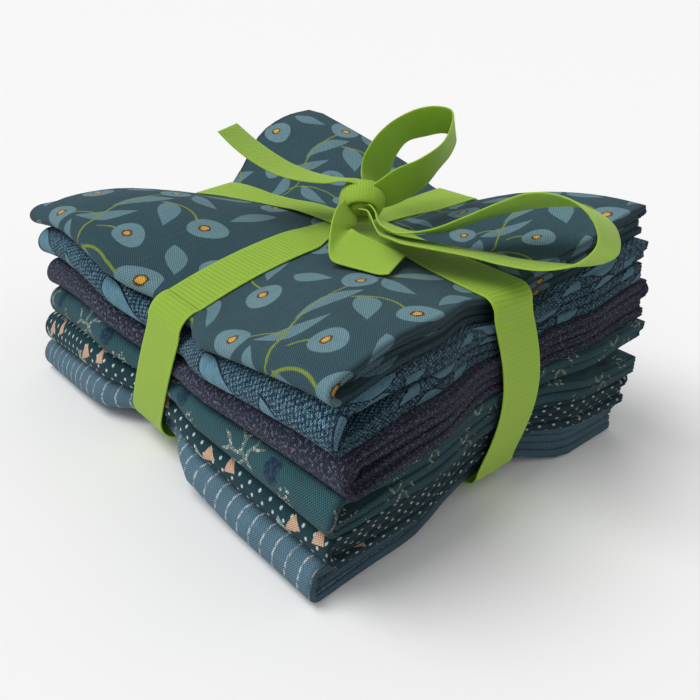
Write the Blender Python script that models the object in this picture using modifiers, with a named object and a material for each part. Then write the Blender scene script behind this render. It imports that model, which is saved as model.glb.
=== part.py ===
"""A bundle of six folded fat quarters, tied like a parcel with one length of ribbon in a bow.

Each fat quarter is 457 x 559 mm of quilting cotton. Folded in half twice one way it is a strip four
plies thick, and folded in half twice the other way it is a packet of about 140 x 113 mm. A solid here
is that four-ply strip as one sheet, folded back and forth into its four layers.

The origin is on the table under the middle of the bundle. +X is the side where the folded layers show,
-Y is the front, where each fat quarter shows one rounded fold, and +Z is up.
"""

from collections import namedtuple
from math import atan2, cos, pi, sin

import bmesh
import bpy
from mathutils import Vector

MM = 0.001  # the sizes below are in millimetres, from the middle of the packet on the table
ORIGIN = Vector((5.75, -0.95, 0.0))  # the middle of the whole bundle, bow included

# Driving sizes
HALF_LENGTH = 70.0  # half the packet along X
HALF_DEPTH = 56.4  # half the packet along Y
SHEET = 0.9  # the four plies of the strip, pressed together
HALF_SHEET = 0.62  # half its thickness measured straight up, where it slopes most
GAP = 0.7  # the space kept between two fat quarters
RIBBON_WIDTH = 15.0
RIBBON_THICKNESS = 1.0
LIFT = 0.6 + RIBBON_THICKNESS / 2  # from the cloth to the middle of the ribbon, on top and below
LIFT_SIDE = 0.45  # from the cloth to the ribbon, down the sides
CROSS_LIFT = 1.4  # how much further the outer turn is where the two cross
CROSS_REACH = 8.4  # half the distance in which it comes back to the cloth
TURN_STEPS = 3  # facets of the ribbon round an edge of the bundle
LEG_STEPS = 4  # facets down a side
WRAP_STEPS = 12  # points along the top of a turn, and along its underside

# Where the two turns of ribbon lie on the bundle. On the top and on the underside a turn's line is
# middle + slope * a + bow * a * a, with a the share of the way across, from -1 to 1.
WrapLine = namedtuple("WrapLine", "middle slope bow")
FRONT_BACK_TOP = WrapLine(middle=5.0, slope=2.0, bow=0.0)  # its x, along Y
FRONT_BACK_UNDER = WrapLine(middle=0.0, slope=5.0, bow=0.0)
LEFT_RIGHT_TOP = WrapLine(middle=8.0, slope=-0.4, bow=-3.4)  # its y, along X
LEFT_RIGHT_UNDER = WrapLine(middle=6.0, slope=-0.5, bow=-0.6)

# The four runs of ribbon down the sides: how far out each is at the top and at the underside, how
# far it bulges between them, how far it leans sideways there, the radius of its turns over the edges
# of the bundle, and how much further in the cloth stays behind them
Leg = namedtuple("Leg", "face top under bulge lean turn room")
LEG_FRONT = Leg(face="front", top=54.6, under=55.6, bulge=0.8, lean=0.5, turn=6.0, room=2.4)
LEG_BACK = Leg(face="back", top=57.0, under=56.6, bulge=0.8, lean=0.0, turn=3.5, room=2.4)
LEG_SIDE = Leg(face="side", top=65.8, under=66.2, bulge=3.2, lean=3.0, turn=4.0, room=2.6)
LEG_REAR = Leg(face="rear", top=65.0, under=66.0, bulge=1.0, lean=0.0, turn=4.0, room=2.6)

# Height of each surface between two fat quarters, from the top of the bundle to its underside, at the
# four corners, under the ribbon at the middle of the four sides, and under the knot. reach is how far
# the ribbon's pull spreads in it, as a share of the distances in SWELLS.
Surface = namedtuple("Surface", "left front near side right back far rear centre reach")
SURFACES = (
    Surface(53.2, 43.8, 57.6, 54.5, 69.4, 56.6, 71.6, 47.0, 54.2, 1.0),
    Surface(46.0, 38.0, 50.8, 47.9, 61.0, 50.2, 62.6, 40.0, 47.4, 1.0),
    Surface(37.0, 31.2, 39.0, 40.2, 49.5, 42.2, 50.4, 33.0, 39.0, 0.98),
    Surface(28.4, 24.6, 27.5, 30.8, 38.0, 32.8, 38.4, 26.0, 30.4, 0.94),
    Surface(19.6, 18.1, 16.6, 20.8, 20.8, 22.0, 22.4, 19.0, 21.4, 0.88),
    Surface(9.8, 11.6, 8.6, 12.2, 9.8, 12.4, 10.2, 12.0, 12.6, 0.78),
    Surface(-0.4, 5.2, -0.4, 4.4, -0.4, 4.8, -0.4, 4.8, 4.9, 0.70),
)

# How far from each turn of ribbon, in mm, a quarter of the packet takes to swell to its full height,
# and how soon it does so. The columns are along X and along Y.
Swell = namedtuple("Swell", "reach_x power_x reach_y power_y")
LEFT_SWELL = Swell(50.0, 1.5, 50.0, 1.2)
NEAR_SWELL = Swell(58.0, 1.2, 40.0, 1.4)
FAR_SWELL = Swell(64.0, 0.95, 38.0, 1.9)
RIGHT_SWELL = Swell(50.0, 1.8, 40.0, 1.8)
FACE_REACH, END_REACH = 14.0, 24.0  # how far the ribbon draws in the cloth's edges, along X and Y
PRESSED = 5.5  # how far from its middle a turn of ribbon holds the cloth down
FALL_POWER = 2.0  # of the slope along a turn of ribbon, from the crossing to the edge

# Plan position of each fat quarter's corners, top one first, how far its nose leans down at the near
# corner, how far its folds reach past the fold line, and how far its side swells out beside the nose
Outline = namedtuple(
    "Outline",
    "left_x left_y near_x near_y right_x right_y far_x far_y droop nose belly",
)
OUTLINES = (
    Outline(-66.5, -55.0, 69.0, -52.5, 69.0, 58.0, -70, 55.5, 0.50, 4.0, 0.5),
    Outline(-61.5, -55.5, 70.0, -52.5, 72.0, 55.5, -68, 55.0, 0.20, 3.6, 1.0),
    Outline(-56.0, -56.0, 71.5, -50.0, 73.5, 57.5, -69, 56.0, 0.10, 3.4, 1.0),
    Outline(-54.5, -56.0, 69.5, -52.0, 75.0, 56.0, -67, 55.0, 0.15, 3.4, 2.0),
    Outline(-58.0, -57.0, 69.0, -51.5, 73.0, 56.5, -68, 56.0, 0.00, 3.0, 3.0),
    Outline(-61.0, -57.0, 67.5, -55.0, 71.0, 56.0, -69, 56.0, 0.10, 2.8, 4.5),
)

# Stations along the packet and across it, as shares of the way from the ribbon to the edge
STATIONS_X = (-1.0, -0.82, -0.6, -0.35, -0.1, 0.0, 0.115, 0.3, 0.5, 0.68, 0.85, 1.0)
STATIONS_Y = (-1.0, -0.88, -0.6, -0.32, -0.115, 0.0, 0.15, 0.34, 0.62, 1.0)
NOSE_STEPS = 5  # facets round a fat quarter's outer fold
TUCK_STEPS = 3  # facets round each fold inside it

# The bow. Each row is a line straight across the ribbon, from its near edge to its far one.
Row = namedtuple("Row", "near_x near_y near_z far_x far_y far_z")
LOOP_BACK = (
    Row(5.5, 11.0, 68.0, 8.5, 14.0, 63.5),
    Row(3.0, 13.0, 70.5, 3.0, 21.5, 65.0),
    Row(2.5, 14.5, 74.5, 1.0, 27.5, 67.0),
    Row(3.5, 18.0, 80.0, 1.0, 30.0, 72.0),
    Row(6.0, 22.0, 84.5, 2.0, 33.5, 76.0),
    Row(10.0, 26.5, 88.0, 6.0, 37.0, 78.0),
    Row(14.5, 30.0, 89.5, 10.5, 40.0, 79.5),
    Row(19.5, 31.5, 89.0, 14.5, 41.0, 78.5),
    Row(22.0, 29.0, 85.5, 16.0, 37.5, 74.5),
    Row(23.0, 24.5, 81.0, 16.0, 32.5, 70.5),
    Row(21.5, 18.5, 77.0, 15.0, 27.0, 66.0),
    Row(18.5, 13.5, 73.5, 14.0, 18.5, 64.0),
    Row(15.0, 10.5, 70.0, 13.0, 14.0, 64.5),
)
LOOP_SIDE = (
    Row(16.5, 2.0, 66.5, 17.5, 5.5, 61.5),
    Row(21.0, -1.0, 66.0, 19.0, 6.0, 60.0),
    Row(26.0, -3.5, 64.5, 22.5, 6.0, 59.5),
    Row(34.0, -3.0, 63.0, 29.0, 10.0, 59.0),
    Row(41.5, 0.5, 65.5, 37.0, 13.5, 61.0),
    Row(48.5, 4.0, 70.0, 44.0, 17.5, 65.5),
    Row(55.5, 7.5, 75.0, 52.0, 21.5, 69.5),
    Row(62.5, 10.5, 79.0, 60.5, 24.5, 72.5),
    Row(70.5, 12.5, 79.5, 69.0, 26.0, 74.0),
    Row(77.5, 12.0, 77.0, 76.5, 26.0, 71.5),
    Row(81.0, 10.5, 72.0, 79.5, 24.0, 66.0),
    Row(78.5, 7.5, 67.0, 75.5, 21.0, 62.5),
    Row(72.0, 4.0, 64.0, 68.0, 18.0, 61.0),
    Row(63.5, 1.5, 63.0, 59.5, 15.0, 60.0),
    Row(55.0, -1.0, 63.0, 50.5, 12.5, 59.5),
    Row(46.5, -3.5, 62.5, 42.0, 10.0, 59.0),
    Row(38.5, -6.5, 62.5, 33.0, 7.0, 59.0),
    Row(30.0, -6.5, 64.5, 25.5, 1.5, 60.5),
    Row(25.0, -6.5, 66.0, 21.5, -0.5, 61.5),
)
TAIL_LONG = (
    Row(6.0, 2.5, 68.0, 4.0, 9.0, 67.0),
    Row(3.0, -2.0, 68.5, -2.5, 9.0, 67.0),
    Row(-1.0, -7.0, 69.0, -9.5, 5.5, 67.5),
    Row(-7.0, -11.0, 70.0, -15.0, 1.5, 69.5),
    Row(-12.5, -14.5, 72.5, -20.5, -2.0, 72.5),
    Row(-18.0, -17.5, 76.0, -26.0, -5.0, 76.0),
    Row(-22.5, -20.5, 80.5, -30.5, -8.0, 80.0),
)
TAIL_SHORT = (
    Row(8.0, 0.0, 66.0, 14.5, 0.5, 61.5),
    Row(8.0, -4.5, 65.5, 17.0, -2.0, 60.0),
    Row(14.5, -10.5, 62.5, 17.5, -4.0, 60.0),
    Row(20.5, -17.5, 57.0, 19.0, -6.0, 61.0),
    Row(24.5, -18.5, 56.5, 23.0, -7.5, 62.0),
    Row(32.5, -17.5, 57.0, 27.5, -8.5, 61.0),
    Row(39.5, -14.5, 57.5, 36.0, -7.0, 59.5),
)
KNOT = Vector((10.9, 7.0, 64.7))
KNOT_RADIUS = Vector((6.3, 6.5, 6.4))


# ---------------------------------------------------------------- the cushioned shape of the bundle

def line_at(top, under, legs, a, down):
    """Where a turn of ribbon lies across its own line, a share down from the top to the underside."""
    on_top = top.middle + top.slope * a + top.bow * a * a
    below = under.middle + under.slope * a + under.bow * a * a
    lean = legs[a > 0].lean * sin(pi * down) * a * a
    return on_top * (1 - down) + below * down + lean


def wrap_x(y, down):
    b = share(y, HALF_DEPTH)
    return line_at(FRONT_BACK_TOP, FRONT_BACK_UNDER, (LEG_FRONT, LEG_BACK), b, down)


def wrap_y(x, down):
    a = share(x, HALF_LENGTH)
    return line_at(LEFT_RIGHT_TOP, LEFT_RIGHT_UNDER, (LEG_REAR, LEG_SIDE), a, down)


def share(distance, half):
    return max(-1.0, min(1.0, distance / half))


def leg_out(leg, down):
    """How far out the middle of the ribbon is on one side of the bundle."""
    return leg.top + (leg.under - leg.top) * down + leg.bulge * sin(pi * down)


def leg_at(leg, index):
    """How far out the ribbon lets one fat quarter reach. The top and bottom ones stay in its corners."""
    top, low = getattr(SURFACES[0], leg.face), getattr(SURFACES[-1], leg.face)
    upper, lower = getattr(SURFACES[index], leg.face), getattr(SURFACES[index + 1], leg.face)
    straight = top - low - 2 * leg.turn
    out = min(leg_out(leg, max(0.0, min(1.0, (top - leg.turn - z) / straight))) for z in (upper, lower))
    return out - (leg.room if upper == top or lower == low else 0.0)


def ramp(distance, start, reach):
    """0 up to start, and 1 from reach beyond it. All are in mm."""
    return min(max((abs(distance) - start) / reach, 0.0), 1.0)


def groove(distance, reach):
    """1 beside the ribbon, falling smoothly to 0 where it no longer draws the edges in."""
    return 0.5 * (1 + cos(pi * ramp(distance, RIBBON_WIDTH / 2 + 1.0, reach)))


def height(index, x, y):
    """Height of one of the seven surfaces over a point of the table."""
    row = SURFACES[index]
    down = index / (len(SURFACES) - 1)
    from_wrap_x = x - wrap_x(y, down)
    from_wrap_y = y - wrap_y(x, down)
    right_side, back_side = from_wrap_x > 0, from_wrap_y > 0
    corner = ((row.left, row.far), (row.near, row.right))[right_side][back_side]
    swell = ((LEFT_SWELL, FAR_SWELL), (NEAR_SWELL, RIGHT_SWELL))[right_side][back_side]
    held_x = (1 - ramp(from_wrap_x, PRESSED, swell.reach_x * row.reach)) ** swell.power_x
    held_y = (1 - ramp(from_wrap_y, PRESSED, swell.reach_y * row.reach)) ** swell.power_y
    fall_x = abs(share(from_wrap_x, HALF_LENGTH)) ** FALL_POWER
    fall_y = abs(share(from_wrap_y, HALF_DEPTH)) ** FALL_POWER
    end = row.side if right_side else row.rear
    face = row.back if back_side else row.front
    z = row.centre + (end - row.centre) * fall_x + (face - row.centre) * fall_y
    z += (corner - end - face + row.centre) * (1 - held_x) * (1 - held_y)
    return max(z, 0.0)


def plan(index, s, t):
    """Table position of a point of one fat quarter, from its shares of the way from the ribbon."""
    row = OUTLINES[index]
    down = (index + 0.5) / len(OUTLINES)
    low_x = (row.left_x * (1 - t) + row.far_x * (1 + t)) / 2
    high_x = (row.near_x * (1 - t) + row.right_x * (1 + t)) / 2
    low_y = (row.left_y * (1 - s) + row.near_y * (1 + s)) / 2
    high_y = (row.far_y * (1 - s) + row.right_y * (1 + s)) / 2
    if t < 0:
        high_x += row.belly * (1 - t * t)
    pull_y = groove(t * HALF_DEPTH, END_REACH)
    pull_x = groove(s * HALF_LENGTH, FACE_REACH)
    inside = RIBBON_THICKNESS / 2 + LIFT_SIDE
    low_x = pressed(low_x, inside - leg_at(LEG_REAR, index), pull_y)
    high_x = pressed(high_x, leg_at(LEG_SIDE, index) - inside, pull_y)
    low_y = pressed(low_y, inside - leg_at(LEG_FRONT, index) + row.nose + SHEET / 2, pull_x)
    high_y = pressed(high_y, leg_at(LEG_BACK, index) - inside - SHEET / 2, pull_x)
    x = stretch(s, wrap_x(t * HALF_DEPTH, down), low_x, high_x, HALF_LENGTH)
    y = stretch(t, wrap_y(s * HALF_LENGTH, down), low_y, high_y, HALF_DEPTH)
    return x, y


def pressed(edge, limit, pull):
    """An edge of the cloth, moved to the ribbon's inner face as far as the ribbon pulls there."""
    return edge * (1 - pull) + limit * pull


def stretch(s, line, low, high, half):
    """The middle of the packet keeps its place, and the outer half stretches to its own edge."""
    nominal, edge = (half, high) if s > 0 else (-half, low)
    halfway = line + (nominal - line) * 0.5
    if abs(s) <= 0.5:
        return line + (nominal - line) * abs(s)
    return halfway + (edge - halfway) * (abs(s) - 0.5) * 2


# ---------------------------------------------------------------- the fat quarters

# One step along the folded strip: its share across the packet, its level from the lowest layer (0) to
# the highest (1), how far it lies past the packet's edge in mm, and how far round a fold it is
Step = namedtuple("Step", "t level past turn")


def fold_steps(nose):
    """The strip from its inner free end to its outer one: two layers inside, then the two round them."""
    forward, backward = STATIONS_Y, STATIONS_Y[::-1]
    steps = [Step(t, 1 / 3, -0.6 * (t == 1.0), 0.0) for t in backward]
    steps += bend(-1.0, 1 / 2, 1 / 6, -1.2, 1.0, TUCK_STEPS, -1)
    steps += [Step(t, 2 / 3, 0.0, 0.0) for t in forward]
    steps += bend(1.0, 5 / 6, 1 / 6, -1.4, 1.0, TUCK_STEPS, -1)
    steps += [Step(t, 1.0, 0.0, 0.0) for t in backward]
    steps += bend(-1.0, 1 / 2, 1 / 2, 0.0, nose, NOSE_STEPS, 1)
    steps += [Step(t, 0.0, 0.0, 0.0) for t in forward]
    return steps


def bend(t, level, half_level, inset, reach, count, down):
    """The points between the two layers of a fold. down is 1 where the strip turns downwards."""
    steps = []
    for i in range(1, count):
        angle = down * (pi / 2 - pi * i / count)
        steps.append(Step(t, level + half_level * sin(angle), inset + reach * cos(angle), cos(angle)))
    return steps


def fold_point(index, s, step):
    """Where a point of the flat strip lies once it is folded into the bundle."""
    x, y = plan(index, s, step.t)
    lowest = index == len(OUTLINES) - 1
    top = height(index, x, y) - GAP / 2 - HALF_SHEET
    base = height(index + 1, x, y) + (SHEET / 2 if lowest else GAP / 2 + HALF_SHEET)
    level = step.level
    if step.t < 0 < step.past:
        level -= OUTLINES[index].droop * max(0.0, s) ** 2 * step.turn / 2
    y += step.past if step.t > 0 else -step.past
    return Vector((x, y, base + (top - base) * level)) * MM


def grid_sheet(name, columns, rows, place, thickness, colour, backward=()):
    """A flat grid, each point moved to its place, and given its thickness to both sides.

    The rows in backward have their squares cut along the other diagonal.
    """
    shape = bmesh.new()
    bmesh.ops.create_grid(shape, x_segments=columns - 1, y_segments=rows - 1, size=1.0)
    turned = []
    for square in shape.faces:
        row = (square.calc_center_median().y + 1) / 2 * (rows - 1)
        if int(row) in backward:
            turned.append(square)
    bmesh.ops.triangulate(shape, faces=turned, quad_method="ALTERNATE")
    bmesh.ops.triangulate(shape, faces=[f for f in shape.faces if len(f.verts) == 4], quad_method="FIXED")
    for point in shape.verts:
        column = round((point.co.x + 1) / 2 * (columns - 1))
        row = round((point.co.y + 1) / 2 * (rows - 1))
        point.co = place(column, row)
    piece = add_piece(name, shape, colour)
    thicken(piece, thickness)
    return piece


def thicken(piece, thickness):
    solid = piece.modifiers.new("Thickness", "SOLIDIFY")
    solid.thickness = thickness * MM
    solid.offset = 0.0


def fat_quarter(index, colour):
    steps = fold_steps(OUTLINES[index].nose)
    backward = {row for row in range(len(steps) - 1) if steps[row].t > steps[row + 1].t}

    def place(column, row):
        return fold_point(index, STATIONS_X[column], steps[row])

    name = f"fat_quarter_{index + 1}"
    return grid_sheet(name, len(STATIONS_X), len(steps), place, SHEET, colour, backward)


# ---------------------------------------------------------------- the ribbon

def smooth_route(rows, per_span):
    """More rows, on smooth curves along both edges of the ribbon."""
    last = len(rows) - 1
    route = []
    for i in range(last):
        around = [Vector(rows[max(0, min(last, i + k))]) for k in (-1, 0, 1, 2)]
        for k in range(per_span):
            route.append(catmull(around, k / per_span))
    route.append(Vector(rows[last]))
    return route


def catmull(p, f):
    return 0.5 * (
        2 * p[1] + (p[2] - p[0]) * f
        + (2 * p[0] - 5 * p[1] + 4 * p[2] - p[3]) * f * f
        + (3 * p[1] - p[0] - 3 * p[2] + p[3]) * f ** 3
    )


def ribbon_strip(name, rows, colour, per_span=2):
    """A stretch of the bow's ribbon through the rows."""
    route = smooth_route(rows, per_span)

    def place(column, row):
        edges = route[row]
        return Vector(edges[3:] if column else edges[:3]) * MM

    return grid_sheet(name, 2, len(route), place, RIBBON_THICKNESS, colour)


def wrap_stops(near_leg, far_leg, over, under):
    """Points round one turn of the ribbon: how far along, how high and what share down each is."""
    near_run, top_start, low_start = leg_stops(near_leg, -1, over, under)
    far_run, top_end, low_end = leg_stops(far_leg, 1, over, under)
    stops = []
    for i in range(WRAP_STEPS):
        along = top_start + (top_end - top_start) * i / (WRAP_STEPS - 1)
        stops.append((along, over(along), 0.0))
    stops += far_run
    for i in range(WRAP_STEPS):
        along = low_end + (low_start - low_end) * i / (WRAP_STEPS - 1)
        stops.append((along, under(along), 1.0))
    return stops + near_run[::-1]


def leg_stops(leg, side, over, under):
    """The run down one side with both of its turns, and where those start above and below."""
    upper, top_start = turn_stops(leg, side, leg.top, over, 0.0)
    lower, low_start = turn_stops(leg, side, leg.under, under, 1.0)
    ends = (upper[-1][1], lower[-1][1])
    straight = []
    for i in range(1, LEG_STEPS):
        down = i / LEG_STEPS
        straight.append((side * leg_out(leg, down), ends[0] + (ends[1] - ends[0]) * down, down))
    return upper + straight + lower[::-1], top_start, low_start


def turn_stops(leg, side, out, surface, down):
    """The turn between the top or the underside and a leg, and where along the surface it starts."""
    flat_end = out - leg.turn
    rise = (surface(side * (flat_end + 1)) - surface(side * flat_end)) * (1 - 2 * down)
    tilt = -atan2(rise, 1.0)
    start = side * (out - leg.turn * (1 - sin(tilt)))
    stops = []
    for i in range(1, TURN_STEPS + 1):
        angle = tilt + (pi / 2 - tilt) * i / TURN_STEPS
        drop = leg.turn * (cos(tilt) - cos(angle)) * (1 - 2 * down)
        stops.append((side * (out - leg.turn * (1 - sin(angle))), surface(start) - drop, down))
    return stops, start


def wrap_ring(name, stops, place_point, colour):
    """A closed band through the points of one turn."""
    shape = bmesh.new()
    rims = [[shape.verts.new(place_point(stop, side) * MM) for stop in stops] for side in (-0.5, 0.5)]
    count = len(stops)
    for i in range(count):
        k = (i + 1) % count
        shape.faces.new((rims[0][i], rims[0][k], rims[1][k], rims[1][i]))
    bmesh.ops.recalc_face_normals(shape, faces=shape.faces)
    piece = add_piece(name, shape, colour)
    thicken(piece, RIBBON_THICKNESS)
    return piece


def lean_of(down, middle, edge):
    """How far an edge of the ribbon is above its middle, as it lies on the swelling cloth."""
    if 0.0 < down < 1.0:
        return 0.0
    index = 0 if down == 0.0 else len(SURFACES) - 1
    return height(index, *edge) - height(index, *middle)


def wrap_front_back(colour):
    """The turn that goes down the front and the back. It lies on the cloth."""
    last = len(SURFACES) - 1

    def over(y):
        return height(0, wrap_x(y, 0.0), y) + LIFT

    def under(y):
        return height(last, wrap_x(y, 1.0), y) - LIFT

    def place(stop, side):
        y, z, down = stop
        x = wrap_x(y, down)
        edge = (x + side * RIBBON_WIDTH, y)
        return Vector((*edge, z + lean_of(down, (x, y), edge)))

    wrap_ring("ribbon_wrap_front_back", wrap_stops(LEG_FRONT, LEG_BACK, over, under), place, colour)


def wrap_left_right(colour):
    """The turn that goes down the two sides. It passes over the other one at the top and bottom."""
    last = len(SURFACES) - 1

    def crossing(x, line):
        return CROSS_LIFT * groove((x - line.middle) / 2, CROSS_REACH)

    def over(x):
        return height(0, x, wrap_y(x, 0.0)) + LIFT + crossing(x, FRONT_BACK_TOP)

    def under(x):
        return height(last, x, wrap_y(x, 1.0)) - LIFT - crossing(x, FRONT_BACK_UNDER)

    def place(stop, side):
        x, z, down = stop
        y = wrap_y(x, down)
        edge = (x, y + side * RIBBON_WIDTH)
        return Vector((*edge, z + lean_of(down, (x, y), edge)))

    wrap_ring("ribbon_wrap_left_right", wrap_stops(LEG_REAR, LEG_SIDE, over, under), place, colour)


def knot(colour):
    """The ribbon's own turn round the crossing, drawn tight into a rounded lump."""
    shape = bmesh.new()
    bmesh.ops.create_cube(shape, size=2.0)
    for point in shape.verts:
        point.co = Vector(point.co[k] * KNOT_RADIUS[k] * 1.15 for k in range(3)) * MM
    piece = add_piece("ribbon_knot", shape, colour)
    piece.location = (KNOT - ORIGIN) * MM
    rounded = piece.modifiers.new("Rounded", "SUBSURF")
    rounded.levels = 2
    rounded.render_levels = 2
    return piece


# ---------------------------------------------------------------- the scene

def clear_scene():
    for thing in list(bpy.data.objects):
        bpy.data.objects.remove(thing, do_unlink=True)


def collection_named(name):
    group = bpy.data.collections.new(name)
    bpy.context.scene.collection.children.link(group)
    return group


def cloth_material(name, colour, roughness):
    material = bpy.data.materials.new(name)
    material.use_nodes = True
    shader = material.node_tree.nodes["Principled BSDF"]
    shader.inputs["Base Color"].default_value = (*colour, 1.0)
    shader.inputs["Roughness"].default_value = roughness
    shader.inputs["Metallic"].default_value = 0.0
    return material


def add_piece(name, shape, colour):
    mesh = bpy.data.meshes.new(name)
    shape.to_mesh(mesh)
    shape.free()
    piece = bpy.data.objects.new(name, mesh)
    mesh.materials.append(cloth_material(name, colour, 0.85))
    mesh.shade_smooth()
    piece.location = -ORIGIN * MM
    BUNDLE.objects.link(piece)
    return piece


COTTON_COLOURS = (
    (0.028, 0.075, 0.110),
    (0.040, 0.110, 0.180),
    (0.030, 0.038, 0.075),
    (0.030, 0.095, 0.120),
    (0.018, 0.060, 0.085),
    (0.060, 0.105, 0.170),
)
RIBBON_COLOUR = (0.24, 0.48, 0.05)

clear_scene()
BUNDLE = collection_named("fat_quarter_bundle")
for number, cotton in enumerate(COTTON_COLOURS):
    fat_quarter(number, cotton)
wrap_front_back(RIBBON_COLOUR)
wrap_left_right(RIBBON_COLOUR)
knot(RIBBON_COLOUR)
ribbon_strip("ribbon_loop_back", LOOP_BACK, RIBBON_COLOUR)
ribbon_strip("ribbon_loop_side", LOOP_SIDE, RIBBON_COLOUR)
ribbon_strip("ribbon_tail_long", TAIL_LONG, RIBBON_COLOUR)
ribbon_strip("ribbon_tail_short", TAIL_SHORT, RIBBON_COLOUR)
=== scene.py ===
"""The looks of a bundle of six folded fat quarters, tied like a parcel with a lime grosgrain ribbon.

Each fat quarter is one sheet of quilting cotton, 457 x 559 mm, folded in four along its width and then
in four along its length, so that sixteen plies lie on each other. Lengths are in millimetres from the
middle of the packet on the table, as in the model's source, until a mesh is made.
"""

from collections import namedtuple
from math import atan2, cos, hypot, pi, radians, sin

import bpy
import numpy as np
from mathutils import Matrix, Vector


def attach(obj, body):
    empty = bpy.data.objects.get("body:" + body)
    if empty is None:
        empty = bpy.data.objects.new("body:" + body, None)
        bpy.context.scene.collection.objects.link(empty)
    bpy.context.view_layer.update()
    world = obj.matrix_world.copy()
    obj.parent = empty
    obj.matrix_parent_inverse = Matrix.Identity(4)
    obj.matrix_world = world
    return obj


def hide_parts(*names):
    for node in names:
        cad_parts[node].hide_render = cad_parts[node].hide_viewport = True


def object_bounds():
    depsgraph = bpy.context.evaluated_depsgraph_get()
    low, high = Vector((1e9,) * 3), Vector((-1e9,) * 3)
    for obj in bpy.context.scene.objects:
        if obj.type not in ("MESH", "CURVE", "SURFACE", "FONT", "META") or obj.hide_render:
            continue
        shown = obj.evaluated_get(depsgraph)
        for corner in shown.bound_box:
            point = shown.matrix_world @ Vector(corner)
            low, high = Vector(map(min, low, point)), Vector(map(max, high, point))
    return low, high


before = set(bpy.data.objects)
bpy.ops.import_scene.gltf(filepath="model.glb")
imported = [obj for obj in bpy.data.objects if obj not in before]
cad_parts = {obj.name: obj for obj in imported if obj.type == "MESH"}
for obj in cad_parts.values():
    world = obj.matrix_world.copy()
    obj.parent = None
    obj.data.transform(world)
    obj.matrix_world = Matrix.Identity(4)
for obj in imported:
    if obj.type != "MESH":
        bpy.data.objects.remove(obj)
CAD_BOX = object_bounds()

MM = 0.001
ORIGIN = np.array((5.75, -0.95, 0.0))  # the middle of the whole bundle, bow included

# ---------------- sizes shared with the model
# Only the near corners differ: they sag 1 to 2 mm more here, and the lower edges at the side bulge less.

HALF_LENGTH = 70.0
HALF_DEPTH = 56.4
RIBBON_WIDTH = 15.0

WrapLine = namedtuple("WrapLine", "middle slope bow")
FRONT_BACK_TOP = WrapLine(middle=5.0, slope=2.0, bow=0.0)
FRONT_BACK_UNDER = WrapLine(middle=0.0, slope=5.0, bow=0.0)
LEFT_RIGHT_TOP = WrapLine(middle=8.0, slope=-0.4, bow=-3.4)
LEFT_RIGHT_UNDER = WrapLine(middle=6.0, slope=-0.5, bow=-0.6)

Leg = namedtuple("Leg", "face top under bulge lean turn room")
LEG_FRONT = Leg(face="front", top=54.6, under=55.6, bulge=0.8, lean=0.5, turn=6.0, room=2.4)
LEG_BACK = Leg(face="back", top=57.0, under=56.6, bulge=0.8, lean=0.0, turn=3.5, room=2.4)
LEG_SIDE = Leg(face="side", top=65.8, under=66.2, bulge=3.2, lean=3.0, turn=4.0, room=2.6)
LEG_REAR = Leg(face="rear", top=65.0, under=66.0, bulge=1.0, lean=0.0, turn=4.0, room=2.6)

Surface = namedtuple("Surface", "left front near side right back far rear centre reach")
SURFACES = (
    Surface(53.2, 43.8, 55.4, 54.5, 69.4, 56.6, 71.6, 47.0, 54.2, 1.0),
    Surface(46.0, 38.0, 48.6, 47.9, 61.0, 50.2, 62.6, 40.0, 47.4, 1.0),
    Surface(37.0, 31.2, 37.4, 40.2, 49.5, 42.2, 50.4, 33.0, 39.0, 0.98),
    Surface(28.4, 24.6, 26.6, 30.8, 38.0, 32.8, 38.4, 26.0, 30.4, 0.94),
    Surface(19.6, 18.1, 16.6, 20.8, 20.8, 22.0, 22.4, 19.0, 21.4, 0.88),
    Surface(9.8, 11.6, 8.6, 12.2, 9.8, 12.4, 10.2, 12.0, 12.6, 0.78),
    Surface(-0.4, 5.2, -0.4, 4.4, -0.4, 4.8, -0.4, 4.8, 4.9, 0.70),
)

# How far from each turn of ribbon, in mm, a quarter of the packet takes to swell to its full height,
# and how soon it does so. The columns are along X and along Y
Swell = namedtuple("Swell", "reach_x power_x reach_y power_y")
SWELLS = {
    "left": Swell(50.0, 1.5, 50.0, 1.2),
    "near": Swell(58.0, 1.2, 40.0, 1.4),
    "far": Swell(64.0, 0.95, 38.0, 1.9),
    "right": Swell(50.0, 1.8, 40.0, 1.8),
}
FACE_REACH, END_REACH = 14.0, 24.0  # how far the ribbon draws in the cloth's edges, along X and Y
EDGE_ROOM = 1.0  # beside the ribbon, where the cloth is drawn in fully
PRESSED = 5.5  # how far from its middle a turn of ribbon holds the cloth down
FALL_POWER = 2.0  # of the slope along a turn of ribbon, from the crossing to the edge

Outline = namedtuple(
    "Outline",
    "left_x left_y near_x near_y right_x right_y far_x far_y droop nose belly",
)
OUTLINES = (
    Outline(-66.5, -55.0, 69.0, -52.5, 69.0, 58.0, -70.0, 55.5, 0.50, 4.0, 0.5),
    Outline(-61.5, -55.5, 70.0, -52.5, 72.0, 55.5, -68.0, 55.0, 0.40, 3.6, 1.0),
    Outline(-56.0, -56.0, 71.5, -50.0, 73.5, 57.5, -69.0, 56.0, 0.25, 3.4, 1.0),
    Outline(-54.5, -56.0, 69.5, -52.0, 75.0, 56.0, -67.0, 55.0, 0.30, 3.4, 1.0),
    Outline(-58.0, -57.0, 69.0, -51.5, 73.0, 56.5, -68.0, 56.0, 0.00, 3.0, 0.0),
    Outline(-61.0, -57.0, 67.5, -55.0, 71.0, 56.0, -69.0, 56.0, 0.10, 2.8, -2.5),
)

# ---------------- the cloth's own sizes

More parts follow.
